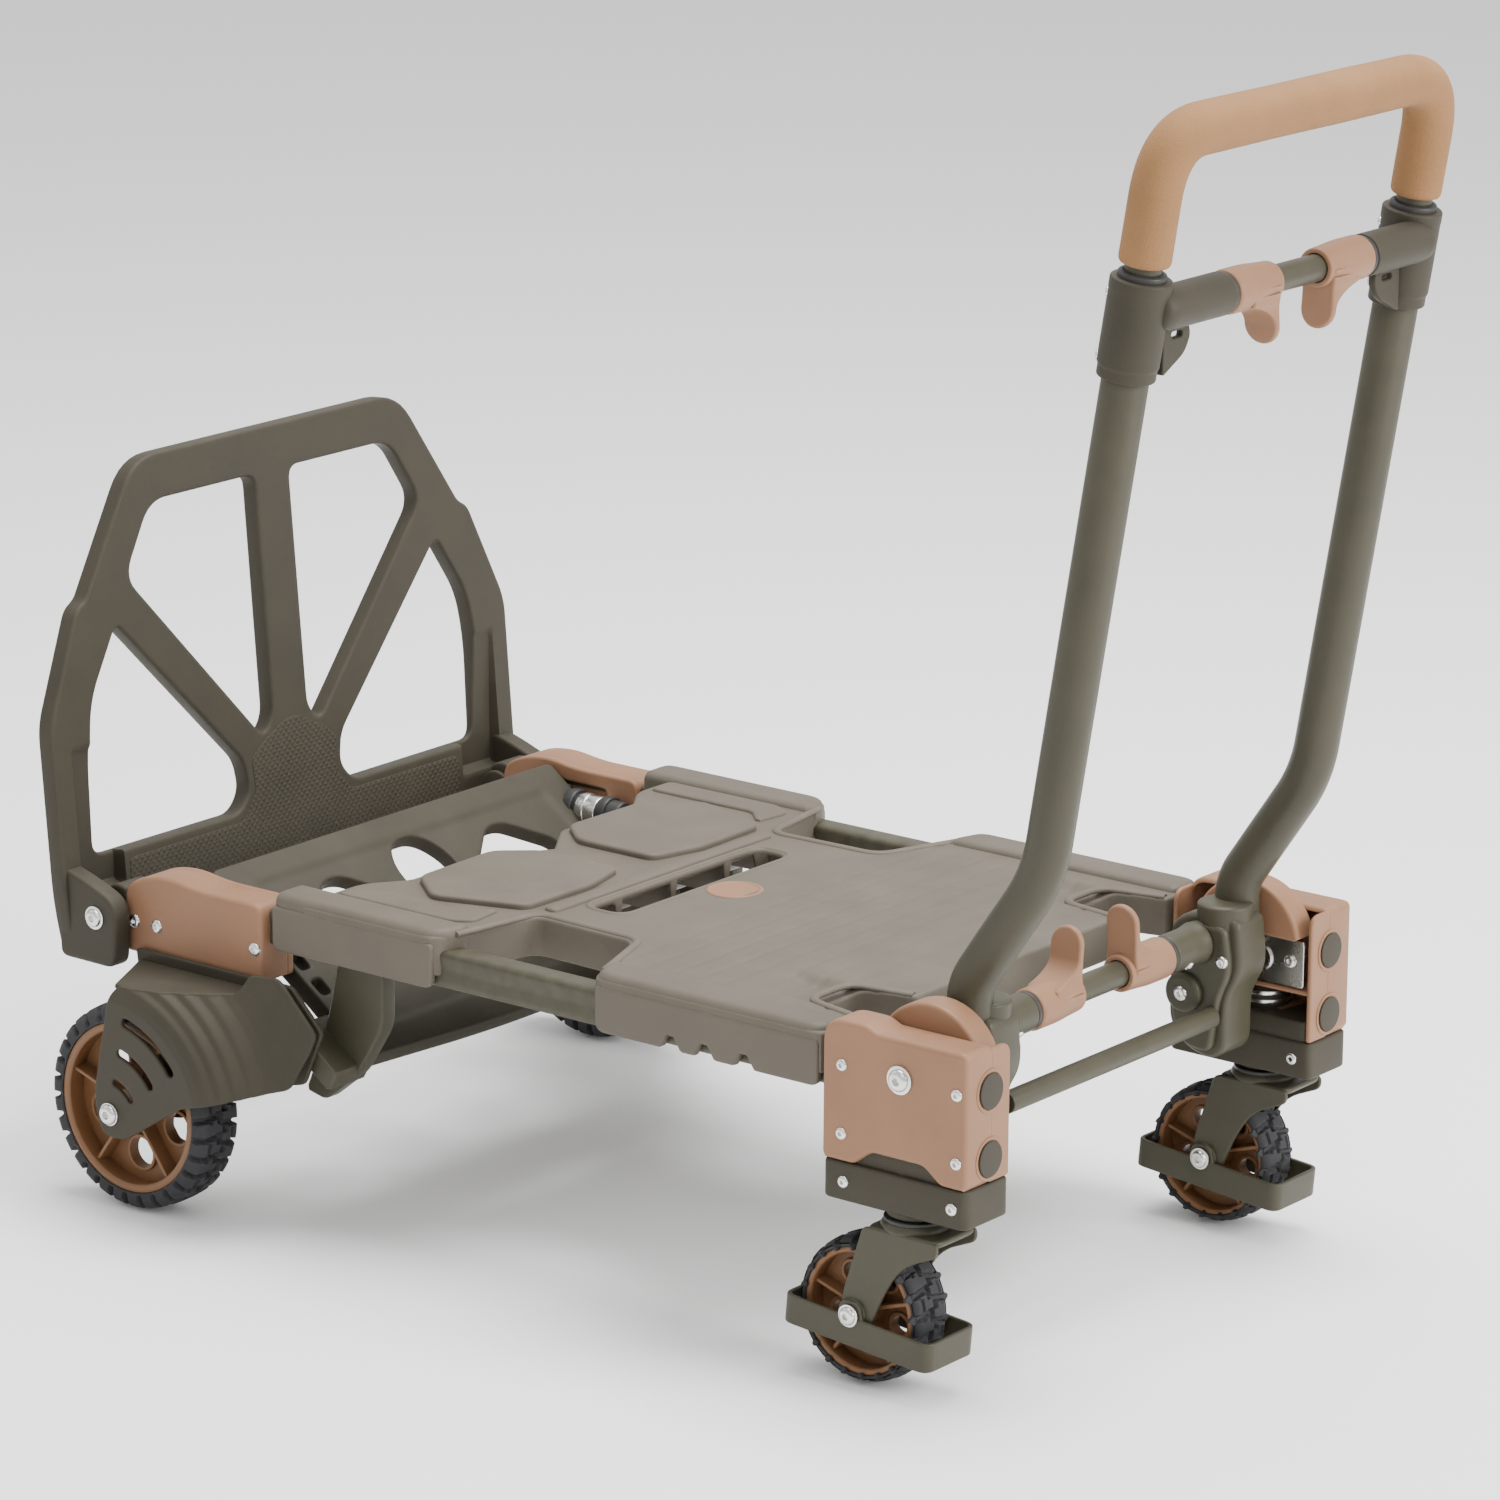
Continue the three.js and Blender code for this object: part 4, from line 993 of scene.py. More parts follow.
def makeCarrier():
    # the sheet, then a strut, a fender and an axle bolt on each side
    makePiece("carrier_sheet", carrierShells(), moulding, "chassis", ["carrier_panel"])
    for label, side in sides.items():
        makePiece(f"carrier_strut_{label}", mirrored(braceShells(), side), paint, "chassis",
                  [f"carrier_brace_{label}"])
        makePiece(
            f"fender_shell_{label}", mirrored(fenderShells(), side), moulding, "chassis",
            [f"fender_{label}"]
        )
        bolt = rod((wheel["x"], 218.4, wheel["z"]), (wheel["x"], 285, wheel["z"]), 4.9, 0.6)
        bolt += screw((wheel["x"], fenderFace + 1.3, wheel["z"]), 7.4)
        bolt += washer((wheel["x"], fenderFace + 0.1, wheel["z"]), 8.2, 4.8, 1.1)
        makePiece(
            f"wheel_axle_{label}", mirrored(bolt, side), zinc, "chassis", [f"wheel_bolt_{label}"]
        )
    print("carrier ready")


# wheels


def treadShells(size, centre, lugs, depth, lowY, highY, seat):
    # closed tyre section turned about the axle; every point of the outer band sinks by
    # depth * (1 - block(angle, y)), so blocks stand out between the grooves and over the shoulders
    x, z = centre
    half = (highY - lowY) / 2
    corner = rounded([
        (seat, -half, 1.5), (seat + 4, -half, 2), (size - 7, -half, 4), (size - 1.6, -half + 3.5, 4),
        (size, 0, 30), (size - 1.6, half - 3.5, 4), (size - 7, half, 4), (seat + 4, half, 2),
        (seat, half, 1.5)
    ], steps=6)
    step = np.linalg.norm(np.roll(corner, -1, 0) - corner, axis=1)
    length = np.concatenate([[0], np.cumsum(step)])
    at = np.linspace(0, length[-1], 72, endpoint=False)
    ring = np.vstack([corner, corner[:1]])
    section = np.stack([np.interp(at, length, ring[:, k]) for k in (0, 1)], 1)
    ahead = np.roll(section, -1, 0) - np.roll(section, 1, 0)
    normal = np.stack([ahead[:, 1], -ahead[:, 0]], 1)
    normal /= np.linalg.norm(normal, axis=1)[:, None]
    if normal[np.argmax(section[:, 0]), 0] < 0:
        normal = -normal
    steps = lugs * 14
    a = np.arange(steps) * 2 * np.pi / steps
    y, r = section[:, 1][None], section[:, 0][None]
    outerBand = np.clip((r - (size - 13)) / 4, 0, 1)
    turn = a[:, None] * lugs / (2 * np.pi)
    shift = np.where(y > 0, 0.5, 0.0) + 0.22 * np.abs(y) / half
    saw = np.abs(((turn + shift) % 1) - 0.5) * 2
    block = np.clip((0.80 - saw) / 0.13, 0, 1)
    zigzag = 0.13 * half * np.sign(np.sin(turn * 2 * np.pi))
    centreGroove = np.clip((np.abs(y - zigzag) - 0.05 * half) / (0.09 * half), 0, 1)
    sideGroove = np.clip((np.abs(np.abs(y) - 0.55 * half) - 0.02 * half) / (0.06 * half), 0, 1)
    sideGroove = np.where(((turn + shift + 0.25) % 2) > 1, sideGroove, 1.0)
    onTop = np.clip((r - (size - 5)) / 2, 0, 1)
    block = block * (1 - onTop * (1 - centreGroove)) * (1 - 0.7 * onTop * (1 - sideGroove))
    sink = depth * (1 - block) * outerBand
    radius = r - sink * normal[None, :, 0]
    along = y - sink * normal[None, :, 1]
    points = np.stack([
        x + radius * np.cos(a)[:, None],
        np.broadcast_to((lowY + highY) / 2 + along, radius.shape),
        z + radius * np.sin(a)[:, None],
    ], -1)
    return [outward(points.reshape(-1, 3), gridFaces(steps, len(section), True, True))]


def rimShells(centre, size, lowY, highY, hub, bore, ribs, holeAt, holeRadius, web):
    # barrel and hub are turned rings, the web a disc with collared round holes, and ribs join hub and barrel
    x, z = centre
    mid = (lowY + highY) / 2
    wall = 0.075 * size
    barrel = rounded([
        (size - wall, lowY + 2, 1), (size, lowY + 0.6, 1), (size, highY - 0.6, 1),
        (size - wall * 0.8, highY + 0.1, 1.4), (size - wall * 1.3, highY - 1.4, 1),
        (size - wall, mid + web / 2, 1), (size - wall, mid - web / 2, 1)
    ], steps=4)
    shells = revolved(np.vstack([barrel, barrel[:1]]), (x, 0, z), (0, 1, 0), 96)
    ring = rounded([
        (bore, lowY + 1), (hub, lowY + 1, 1), (hub + 1.5, mid, 1), (hub, highY - 1, 1.4),
        (bore, highY - 1, 0.6)
    ])
    shells += revolved(np.vstack([ring, ring[:1]]), (x, 0, z), (0, 1, 0), 64)
    angles = np.radians(18 + 360 / ribs * np.arange(ribs)) + np.pi / ribs
    centres = [(x + holeAt * np.cos(a), z + holeAt * np.sin(a)) for a in angles]
    outline = circle(x, z, size - wall * 0.6, 90)
    holes = [circle(u, v, holeRadius, 28) for u, v in centres] + [circle(x, z, hub - 1, 40)]
    shells += plate([outline, *holes], mid - web / 2, mid + web / 2, 0.8, inSide, size / 26)
    for u, v in centres:
        collar = rounded([
            (holeRadius - 0.2, -web / 2 - 1.5, 0.6), (holeRadius + 2.4, -web / 2 - 1.5, 0.8),
            (holeRadius + 2.4, web / 2 + 2.6, 0.8), (holeRadius - 0.2, web / 2 + 2.6, 0.8),
        ], steps=3)
        shells += revolved(np.vstack([collar, collar[:1]]), (u, mid, v), (0, 1, 0), 32)
    for a in angles + np.pi / ribs:
        direction = np.array([np.cos(a), np.sin(a)])
        across = np.array([-direction[1], direction[0]]) * 1.3
        ends = [direction * (hub + 0.5), direction * (size - wall * 0.9)]
        outline = np.array([ends[0] - across, ends[1] - across, ends[1] + across, ends[0] + across]) + [x, z]
        shells += plate([rounded(outline, 0.8)], lowY + 5, highY - 4, 0.6, inSide, 2)
    return shells


def makeWheels():
    # a tyre and a rim on each side, which ride on that wheel's body
    for label, side in sides.items():
        centre = (wheel["x"], wheel["z"])
        tyre = treadShells(wheel["radius"], centre, 30, 4.2, wheel["inner"], wheel["outer"], wheel["rim"])
        makePiece(f"big_tread_{label}", mirrored(tyre, side), rubber, f"big_wheel_{label}",
                  [f"big_tyre_{label}"], sharp=30)
        rim = rimShells(centre, wheel["rim"], wheel["inner"] + 1, wheel["outer"] - 1, 13, 5.4, 5, 36, 11, 5)
        makePiece(
            f"big_wheel_rim_{label}", mirrored(rim, side), rimPlastic, f"big_wheel_{label}",
            [f"big_rim_{label}"]
        )
    print("big wheels ready")


# handle end: housings, caster blocks, hinge discs

housing = {"from": 655, "to": 769.5, "low": 150, "high": 241, "inner": 172.7, "outer": 220, "wall": 3.5,
           "bumperY": 194.5, "bumperHeights": (211.7, 166.5)}
block = {"low": 123.6, "high": 149.6, "outer": 219.4}
pivot = {"x": pivotX, "z": 214.7}
stem = {"x": 716, "y": 199.2}


def housingShells():
    # a cover hollowed from its inboard side, its two end walls carried further in, and a shelf across it
    h = housing
    outline = rounded([
        (h["from"], h["low"], 1.5), (680, h["low"], 3), (694, h["low"] + 10.5, 4), (735, h["low"] + 10.5, 4),
        (749, h["low"], 3), (h["to"], h["low"], 2), (h["to"], h["high"], 5), (698, h["high"], 3),
        (690, h["high"] + 4, 6), (h["from"], h["high"] + 4, 18),
    ])

    def hollow(x, z):
        # the wall is all that is left within 3.5 of the outline
        inward = -edgeDistance(np.stack([x, z], 1), [outline])[0]
        return 25.6 * np.clip((inward - h["wall"]) / 1.2, 0, 1)

    shells = plate([outline], 190.9, h["outer"], 3.4, inSide, 1.3, under=hollow, rings=5)
    depth = (h["inner"], 193.5)
    for low, high, top in (
        (h["to"] - 3.8, h["to"] - 0.2, h["high"] - 1.6), (h["from"] + 0.2, h["from"] + 3.6, h["high"] - 3)
    ):
        wall = rounded([
            (depth[0], h["low"] + 0.3, 2), (depth[1], h["low"] + 0.3, 1), (depth[1], top, 1),
            (depth[0], top, 9)
        ])
        shells += plate([wall], low, high, 1.4, inEnd, 1.6)
    shells += slab((h["from"] + 2, h["to"] - 2), (h["inner"] + 3, 217), (182, 185), 1.2, 2.4)
    for z in h["bumperHeights"]:
        shells += washer((h["to"] - 0.4, h["bumperY"], z), 14.6, 12.4, 1.0, (1, 0, 0))
    return shells


def discShells():
    # the crown that stands proud of the cover between its ends
    x, z = pivot["x"], pivot["z"]
    a = np.radians(np.linspace(8, 172, 70))
    outline = np.stack([x + 43 * np.cos(a), z + 43 * np.sin(a)], 1)
    return plate([outline], 169, 190, 2.6, inSide, 2, rings=4)


def blockShells():
    # a base and a narrower riser in plan, and the turned stem turret with its collar
    h = housing
    corner = [
        (h["from"], h["inner"], 5), (h["to"], h["inner"], 5), (h["to"], block["outer"], 7),
        (h["from"], block["outer"], 7)
    ]
    base = plate([rounded(corner)], block["low"], block["high"], 2.0, inPlan, 2.2)
    riser = plate(
        [
            rounded([
                (h["from"] + 5, h["inner"] + 2), (h["to"] - 5, h["inner"] + 2), (h["to"] - 5, 215.8),
                (h["from"] + 5, 215.8)
            ], 4)
        ],
        block["high"] - 1, 163.5, 1.5, inPlan, 2.2
    )
    x, y = stem["x"], stem["y"]
    turret = rounded([
        (0, 119.6), (19, 119.6, 2), (19, 128, 1), (17, 131, 1), (16.5, 176, 3), (14, 181, 2), (0, 181)
    ], closed=False)
    collarRing = rounded([(0, 165), (17.4, 165, 1), (17.4, 170, 1), (0, 170)], closed=False)
    return base + riser + revolved(turret, (x, y, 0), (0, 0, 1), 56) + revolved(
        collarRing, (x, y, 0), (0, 0, 1), 56
    )


def lockPlateShells():
    # the zinc lock plate inside the housing, with its ringed hole and a screw, and two rings round the stem
    x, z = 725, 202.5
    corners = rounded([(713, 186), (760, 186), (760, 219), (731, 219), (725, 212.6), (713, 207.5)], 2.5)
    shells = plate([corners, circle(x, z, 7, 32)], 177.2, 179.6, 0.6, inSide, 1.4)
    ring = rounded([(7.1, 175.2), (9.4, 175.2, 0.6), (9.4, 177.4, 0.6), (7.1, 177.4)], steps=2)
    shells += revolved(np.vstack([ring, ring[:1]]), (x, 0, z), (0, 1, 0), 40)
    shells += screw((749, 177, 204), 4.6, (0, -1, 0))
    for height in (167.5, 173.5):
        shells += washer((stem["x"], stem["y"], height), 18.4, 14, 2.6, (0, 0, 1))
    return shells


def bumperShells():
    # two low turned buttons on the end wall
    shells = []
    for z in housing["bumperHeights"]:
        profile = rounded([(0, 0), (12, 0, 0.5), (12, 1.5, 1), (0, 1.6)], steps=4, closed=False)
        shells += revolved(profile, (housing["to"] + 0.3, housing["bumperY"], z), (1, 0, 0), 56)
    return shells


def makeHandleEnd():
    # covers, discs, blocks, lock plates, screws and pivot bolts, all on the chassis
    for label, side in sides.items():
        pieces = (
            (f"housing_shell_{label}", housingShells(), tan, "tan_plastic", [f"handle_housing_{label}"]),
            (f"pivot_disc_{label}", discShells(), tan, "tan_plastic", [f"hinge_disc_{label}"]),
            (f"caster_base_{label}", blockShells(), moulding, "green_plastic", [f"caster_block_{label}"]),
            (f"lock_plate_{label}", lockPlateShells(), zinc, "zinc", []),
            (
                f"bumpers_{label}", bumperShells(), moulding, "green_plastic",
                [f"bumper_upper_{label}", f"bumper_lower_{label}"]
            )
        )
        for name, shells, material, slot, replaced in pieces:
            makePiece(name, mirrored(shells, side), material, "chassis", replaced)
        screws = []
        for x, z in ((671, 215), (762, 213.5), (671, 169), (762, 168)):
            screws += screw((x, housing["outer"] - 0.1, z), 4.2)
        for x, z in ((672.5, 136.6), (758.5, 136.8)):
            screws += screw((x, block["outer"] - 0.1, z), 4.2)
        screws += screw((755, housing["inner"] + 0.4, 136.8), 4.2, (0, -1, 0))
        makePiece(f"housing_screws_{label}", mirrored(screws, side), zinc, "chassis")
        bolt = rod((pivot["x"], 124.2, pivot["z"]), (pivot["x"], 221, pivot["z"]), 5.9, 0.6)
        bolt += washer((pivot["x"], 220.1, pivot["z"]), 9.6, 5.5, 1.4) + screw(
            (pivot["x"], 221.7, pivot["z"]), 7.6
        )
        makePiece(
            f"pivot_screw_{label}", mirrored(bolt, side), zinc, "chassis", [f"pivot_bolt_{label}"]
        )
    print("handle end ready")


# casters

caster = {"x": 683, "y": 199.2, "z": 50, "radius": 50, "half": 17.3, "rim": 42.9}
brake = {"low": -21, "high": -1, "back": -54, "front": 64, "half": 26.5, "wall": 3, "tilt": 4.9}


def forkShells():
    # two side cheeks with bosses, a crown across them and a low turned dome
    x, y = caster["x"], caster["y"]
    sx = stem["x"]
    outline = rounded([
        (x - 9, 62, 6), (x - 8, 46, 8), (x + 2, 38.5, 8), (x + 13, 42, 8), (x + 24, 68, 18), (x + 38, 90, 20),
        (sx + 33, 102, 6), (sx + 33, 111.5, 5), (sx - 26, 111.5, 5),
    ])
    shells = []
    for sign in (-1, 1):
        near, away = y + sign * 19.5, y + sign * 22.5
        shells += plate([outline], min(near, away), max(near, away), 1.1, inSide, 2)
        boss = rounded([(4.3, 0), (10.5, 0, 0.4), (9.5, 1.2, 0.5), (4.3, 1.2)], steps=3)
        shells += revolved(np.vstack([boss, boss[:1]]), (x, away, 50), (0, sign, 0), 40)
    crown = rounded(
        [(sx - 24, y - 22.4, 8), (sx + 33, y - 22.4, 8), (sx + 33, y + 22.4, 8), (sx - 24, y + 22.4, 8)]
    )
    shells += plate([crown], 107.5, 112.3, 2.2, inPlan, 2.2)
    dome = rounded([(0, 110), (23, 110, 2), (23, 114, 2), (19, 117.8, 2), (0, 118)], steps=4, closed=False)
    return shells + revolved(dome, (sx, y, 0), (0, 0, 1), 64)


def swivelShells():
    # bearing race under the block and the stem in it
    profile = rounded([
        (0, 116.2), (21, 116.2, 1), (21, 119, 1), (13, 119.2, 1), (7.8, 119.6, 1), (7.8, 158, 1), (0, 158)
    ], closed=False)
    return revolved(profile, (stem["x"], stem["y"], 0), (0, 0, 1), 56)


def axleShells():
    # an axle rod with a washer and a socket screw at each end
    x, y, z = caster["x"], caster["y"], caster["z"]
    shells = rod((x, y - 29, z), (x, y + 29, z), 3.9, 0.6)
    for sign in (-1, 1):
        shells += screw((x, y + sign * 28.2, z), 6.2, (0, sign, 0))
        shells += washer((x, y + sign * 26.7, z), 7.6, 4.2, 1.3, (0, sign, 0))
    return shells


def brakeShells():
    # a flat strip bent into a long loop round the wheel and tipped by its tilt, with a lobe at the axle
    b = brake
    a = np.radians(b["tilt"])
    along, up = np.array([np.cos(a), 0, -np.sin(a)]), np.array([np.sin(a), 0, np.cos(a)])
    centre = np.array([caster["x"], caster["y"], caster["z"]])
    mid = b["wall"] / 2
    flat = rounded([
        (b["back"] + mid, -b["half"] + mid), (b["front"] - mid, -b["half"] + mid),
        (b["front"] - mid, b["half"] - mid), (b["back"] + mid, b["half"] - mid),
    ], 7, steps=8)
    dense = []
    for one, two in zip(flat, np.roll(flat, -1, 0)):
        count = max(int(np.linalg.norm(two - one) // 6), 1)
        dense.append(one + (two - one) * np.linspace(0, 1, count, endpoint=False)[:, None])
    flat = np.concatenate(dense)
    level = (b["low"] + b["high"]) / 2
    path = centre + flat[:, :1] * along + up * level + flat[:, 1:] * np.array([0.0, 1.0, 0.0])
    height = (b["high"] - b["low"]) / 2
    section = rounded([(-height, -mid), (height, -mid), (height, mid), (-height, mid)], 1.2, steps=4)
    shells = carried(path, section, up, closed=True)
    for sign in (-1, 1):
        faces = sorted(
            (caster["y"] + sign * (b["half"] - 0.5), caster["y"] + sign * (b["half"] - b["wall"] + 0.5))
        )
        lobe = rounded([(-12, -10, 3), (12, -11, 3), (8.6, 6, 6), (6, 9.6, 6), (-6, 9.6, 6), (-8.6, 6, 6)])
        hole = circle(caster["x"], caster["z"], 4.4, 24)
        shells += plate([lobe + [caster["x"], caster["z"]], hole], *faces, 0.9, inSide, 1.6)
    return shells


def makeCasters():
    # fork, swivel and axle ride on the swivelling body, the strip on the brake, tyre and rim on the wheel
    for label, side in sides.items():
        body = f"caster_{label}"
        makePiece(
            f"fork_{label}", mirrored(forkShells(), side), paint, body,
            [f"caster_fork_{label}"]
        )
        makePiece(f"swivel_{label}", mirrored(swivelShells(), side), dark, body)
        makePiece(f"caster_axle_{label}", mirrored(axleShells(), side), zinc, body)
        makePiece(
            f"brake_strip_{label}", mirrored(brakeShells(), side), paint, f"caster_brake_{label}",
            [f"caster_brake_{label}"]
        )
        centre = (caster["x"], caster["z"])
        low, high = caster["y"] - caster["half"], caster["y"] + caster["half"]
        tread = treadShells(caster["radius"] - 0.2, centre, 20, 3.2, low, high, caster["rim"])
        makePiece(
            f"small_tread_{label}", mirrored(tread, side), rubber, f"caster_wheel_{label}",
            [f"caster_tyre_{label}"], sharp=30
        )
        rim = rimShells(centre, caster["rim"], low + 0.6, high - 0.6, 10, 4.4, 5, 25, 6.5, 4)
        makePiece(
            f"small_rim_{label}", mirrored(rim, side), rimPlastic, f"caster_wheel_{label}",
            [f"caster_rim_{label}"]
        )
    print("casters ready")


# handle

handle = {"y": 152, "radius": 15, "lean": 9.4, "bendX": 780.7, "bendZ": 362.5}
socket = {"low": 672.7, "high": 736, "radius": 19.5, "stubFrom": 79.8}
grip = {"leg": 11.9, "legLow": 392, "low": 744.5, "top": 824, "corner": 52, "foam": 17}
bars = {"upper": {"x": 851, "z": 716}, "lower": {"x": 712, "z": 224}}
crossbar = {"radius": 8.9, "upperHalf": 122.8, "lowerHalf": 117.4}
tieRod = {"x": 726, "z": 174.4, "radius": 7.4}
tubeFootX = 721.5
trigger = {"inner": 26.2, "outer": 75.8, "radius": 14.4, "bore": 9.4}


def leanX(z):
    # x on the upright's line at height z = bendX + (z - bendZ) tan lean
    return handle["bendX"] + (z - handle["bendZ"]) * np.tan(np.radians(handle["lean"]))


def leanAxis():
    # the upright's direction = (sin lean, 0, cos lean)
    a = np.radians(handle["lean"])
    return np.array([np.sin(a), 0, np.cos(a)])


def armShells():
    # two bodies in side view, a turned collar and seat round the tube, and a boss on the inboard face
    body = rounded([
        (700, 146, 10), (722, 141, 8), (733, 150, 8), (733, 186, 12), (745, 206, 12), (741, 243, 8),
        (701, 243, 10), (686, 232, 10), (686, 162, 14)
    ])
    shells = plate([body], 124, 157.3, 4, inSide, 2.4, rings=4)
    rear = rounded([
        (702, 150, 8), (724, 147, 8), (729, 186, 10), (739, 207, 10), (734, 238, 6), (706, 238, 6),
        (692, 228, 8), (692, 168, 10)
    ])
    shells += plate([rear], 118.2, 128, 3.4, inSide, 2.4, rings=4)
    collar = rounded([(0, 228), (19, 228, 2), (19, 249.5, 2.5), (15.6, 250.8, 1), (0, 250.9)], closed=False)
    shells += revolved(collar, (tubeFootX, 138, 0), (0, 0, 1), 56)
    seat = rounded([(15.9, 236), (17.6, 238, 1), (17.6, 249, 1.5), (15.9, 250.6, 0.8)], steps=3)
    shells += revolved(np.vstack([seat, seat[:1]]), (tubeFootX, handle["y"] - 12, 0), (0, 0, 1), 56)
    boss = rounded([(0, 0), (14, 0, 1), (14, -4, 2), (11, -6, 1), (0, -6)], closed=False)
    shells += revolved(boss, (704, 118.4, 188), (0, 1, 0), 40)
    return shells


def armFittings():
    # three screw heads on the inboard face of each arm
    shells = screw((704, 112.6, 188), 5.2, (0, -1, 0))
    shells += screw((700, 117.8, 226), 6.0, (0, -1, 0))
    shells += screw((733, 117.8, 214), 4.4, (0, -1, 0))
    return shells


def uprightShells():
    # a round tube that rises, bends away from the deck, then follows the lean
    flat = pathThrough([
        (tubeFootX, 237), (tubeFootX, 262), (778, 346), (leanX(socket["high"] - 1), socket["high"] - 1)
    ], 23, 16)
    path = np.column_stack([flat[:, 0], np.full(len(flat), handle["y"]), flat[:, 1]])
    return tube(path, (0, 1, 0), handle["radius"], 48)


def socketShells():
    # a turned sleeve along the lean, a turned stub across the cart, and a slotted lug between them
    axis = leanAxis()
    foot = np.array([leanX(socket["low"]), handle["y"], socket["low"]])
    length = (socket["high"] - socket["low"]) / axis[2]
    r = socket["radius"]
    sleeve = rounded([
        (15.5, 0, 0.5), (r - 0.9, 0, 1.5), (r - 0.9, 7, 1), (r, 9, 1), (r, length - 9, 1),
        (r + 0.2, length - 7, 1), (r + 0.2, length, 2), (13, length, 0.5), (12.6, length - 4, 0.5),
        (15.5, length - 5, 0.5)
    ])
    shells = revolved(np.vstack([sleeve, sleeve[:1]]), foot, axis, 72)
    x, z = bars["upper"]["x"], bars["upper"]["z"]
    stubProfile = rounded([
        (0, 124), (9.4, 124), (9.4, socket["stubFrom"], 0.4), (14, socket["stubFrom"], 1.4), (14, 143, 3),
        (12, 151, 7), (0, 154)
    ], steps=5, closed=False)
    shells += revolved(stubProfile, (x, 0, z), (0, 1, 0), 56)
    lug = rounded([(133, 703, 1), (106, 703, 2), (103, 694, 4), (109, 683, 6), (133, 671, 3)])
    slot = rounded([(124, 698), (112, 698), (112, 694), (124, 694)], 2)
    shells += plate([lug, slot], leanX(690) + 6, leanX(690) + 11.5, 1.2, inEnd, 1.8)
    return shells


def socketScrews():
    # a screw on the stub, and four round the sleeve at two heights, each square to the lean
    x = bars["upper"]["x"]
    axis = leanAxis()
    shells = screw((x - 11.2, 96, bars["upper"]["z"] - 7.8), 3.4, (-0.82, 0, -0.57))
    for z in (684, 724):
        base = np.array([leanX(z), handle["y"], z])
        for angle in (-2.5, 2.6):
            out = np.array([np.cos(angle), np.sin(angle), 0])
            out -= axis * (out @ axis)
            out /= np.linalg.norm(out)
            shells += screw(base + out * (socket["radius"] - 0.2), 3.2, out)
    return shells


def bushShells():
    # black bushes: where the leg leaves the socket and at the outer end of each sliding sleeve
    axis = leanAxis()
    top = np.array([leanX(socket["high"]), handle["y"], socket["high"]])
    ring = rounded([(12.1, -1), (15.4, -1, 0.5), (15.4, 3.4, 1.2), (12.1, 4.6, 0.5)], steps=3)
    shells = revolved(np.vstack([ring, ring[:1]]), top, axis, 56)
    for bar in bars.values():
        collar = rounded([
            (9.3, trigger["outer"] + 0.6), (13.2, trigger["outer"] + 0.6, 0.6),
            (13.2, socket["stubFrom"] - 0.1, 0.6), (9.3, socket["stubFrom"] - 0.1)
        ], steps=3)
        shells += revolved(np.vstack([collar, collar[:1]]), (bar["x"], 0, bar["z"]), (0, 1, 0), 48)
    return shells


def triggerShells(bar, up, reach):
    # a sleeve round the bar and a finger tongue that grows out of it
    t = trigger
    profile = rounded([
        (t["bore"], t["inner"], 0.6), (12.6, t["inner"], 1.6), (13.4, 40, 4), (t["radius"], 52, 8),
        (t["radius"], t["outer"] - 2, 1), (13.4, t["outer"], 1), (t["bore"], t["outer"], 0.4)
    ])
    shells = revolved(np.vstack([profile, profile[:1]]), (bar["x"], 0, bar["z"]), (0, 1, 0), 56)
    tip = reach - 0.8
    arc = np.radians(np.linspace(0, 180, 19))
    crest = np.stack([12.4 * np.cos(arc), tip - 12.4 + 12.4 * np.sin(arc)], 1)
    neck = rounded([(-12.2, 14, 8), (-14.3, -3, 3), (14.3, -3, 3), (12.2, 14, 8)], steps=6, closed=False)
    flat = np.vstack([crest, neck]) * [1, up] + [bar["x"], bar["z"]]
    hole = circle(bar["x"], bar["z"], t["bore"] + 0.3, 40)

    def curled(x, z):
        # the tongue leans towards the middle of the cart, by 3 mm at its crest
        return -3.0 * np.clip((np.abs(z - bar["z"]) - 12) / (reach - 12), 0, 1) ** 2

    def flared(x, z):
        # its other face sweeps into the sleeve, 24 (1 - t) ^ 2.6 over the first 17 mm
        t = np.clip((np.abs(z - bar["z"]) - 11) / 17, 0, 1)
        return curled(x, z) + 24 * (1 - t) ** 2.6

    shells += plate([flat, hole], 30, 35.4, 2, inSide, 1.2, relief=flared, under=curled, rings=4)
    return shells


def legPath(lowZ):
    # the loop drawn in y, z with two wide corners, then leant: x = leanX(z)
    flat = pathThrough([
        (handle["y"], lowZ), (handle["y"], grip["top"]), (-handle["y"], grip["top"]), (-handle["y"], lowZ),
    ], grip["corner"], 26)
    return np.column_stack([leanX(flat[:, 1]), flat])


def foamShells():
    # the foam sleeve's radius waves by 0.125 along its length and is nipped in at both ends
    path = legPath(grip["low"])
    span = np.concatenate([[0], np.cumsum(np.linalg.norm(np.diff(path, axis=0), axis=1))])
    at = np.unique(
        np.concatenate(
            [np.linspace(0, 5, 9), np.linspace(5, span[-1] - 5, 130), span[-1] - np.linspace(0, 5, 9)]
        )
    )
    path = np.stack([np.interp(at, span, path[:, k]) for k in range(3)], 1)
    fromEnd = np.minimum(at, span[-1] - at)
    nip = 2.6 * (1 - np.sqrt(1 - (1 - np.clip(fromEnd / 4, 0, 1)) ** 2))
    swell = 0.125 * np.sin(at / 23.0)
    size = grip["foam"] - 0.45 - nip + swell
    normal = np.cross((0, 1, 0), leanAxis())
    return carried(path, circle(0, 0, 1, 56)[None] * size[:, None, None], normal)


def crossRod(x, z, half, radius):
    # a bar straight across the cart from -half to half
    return rod((x, -half, z), (x, half, z), radius)


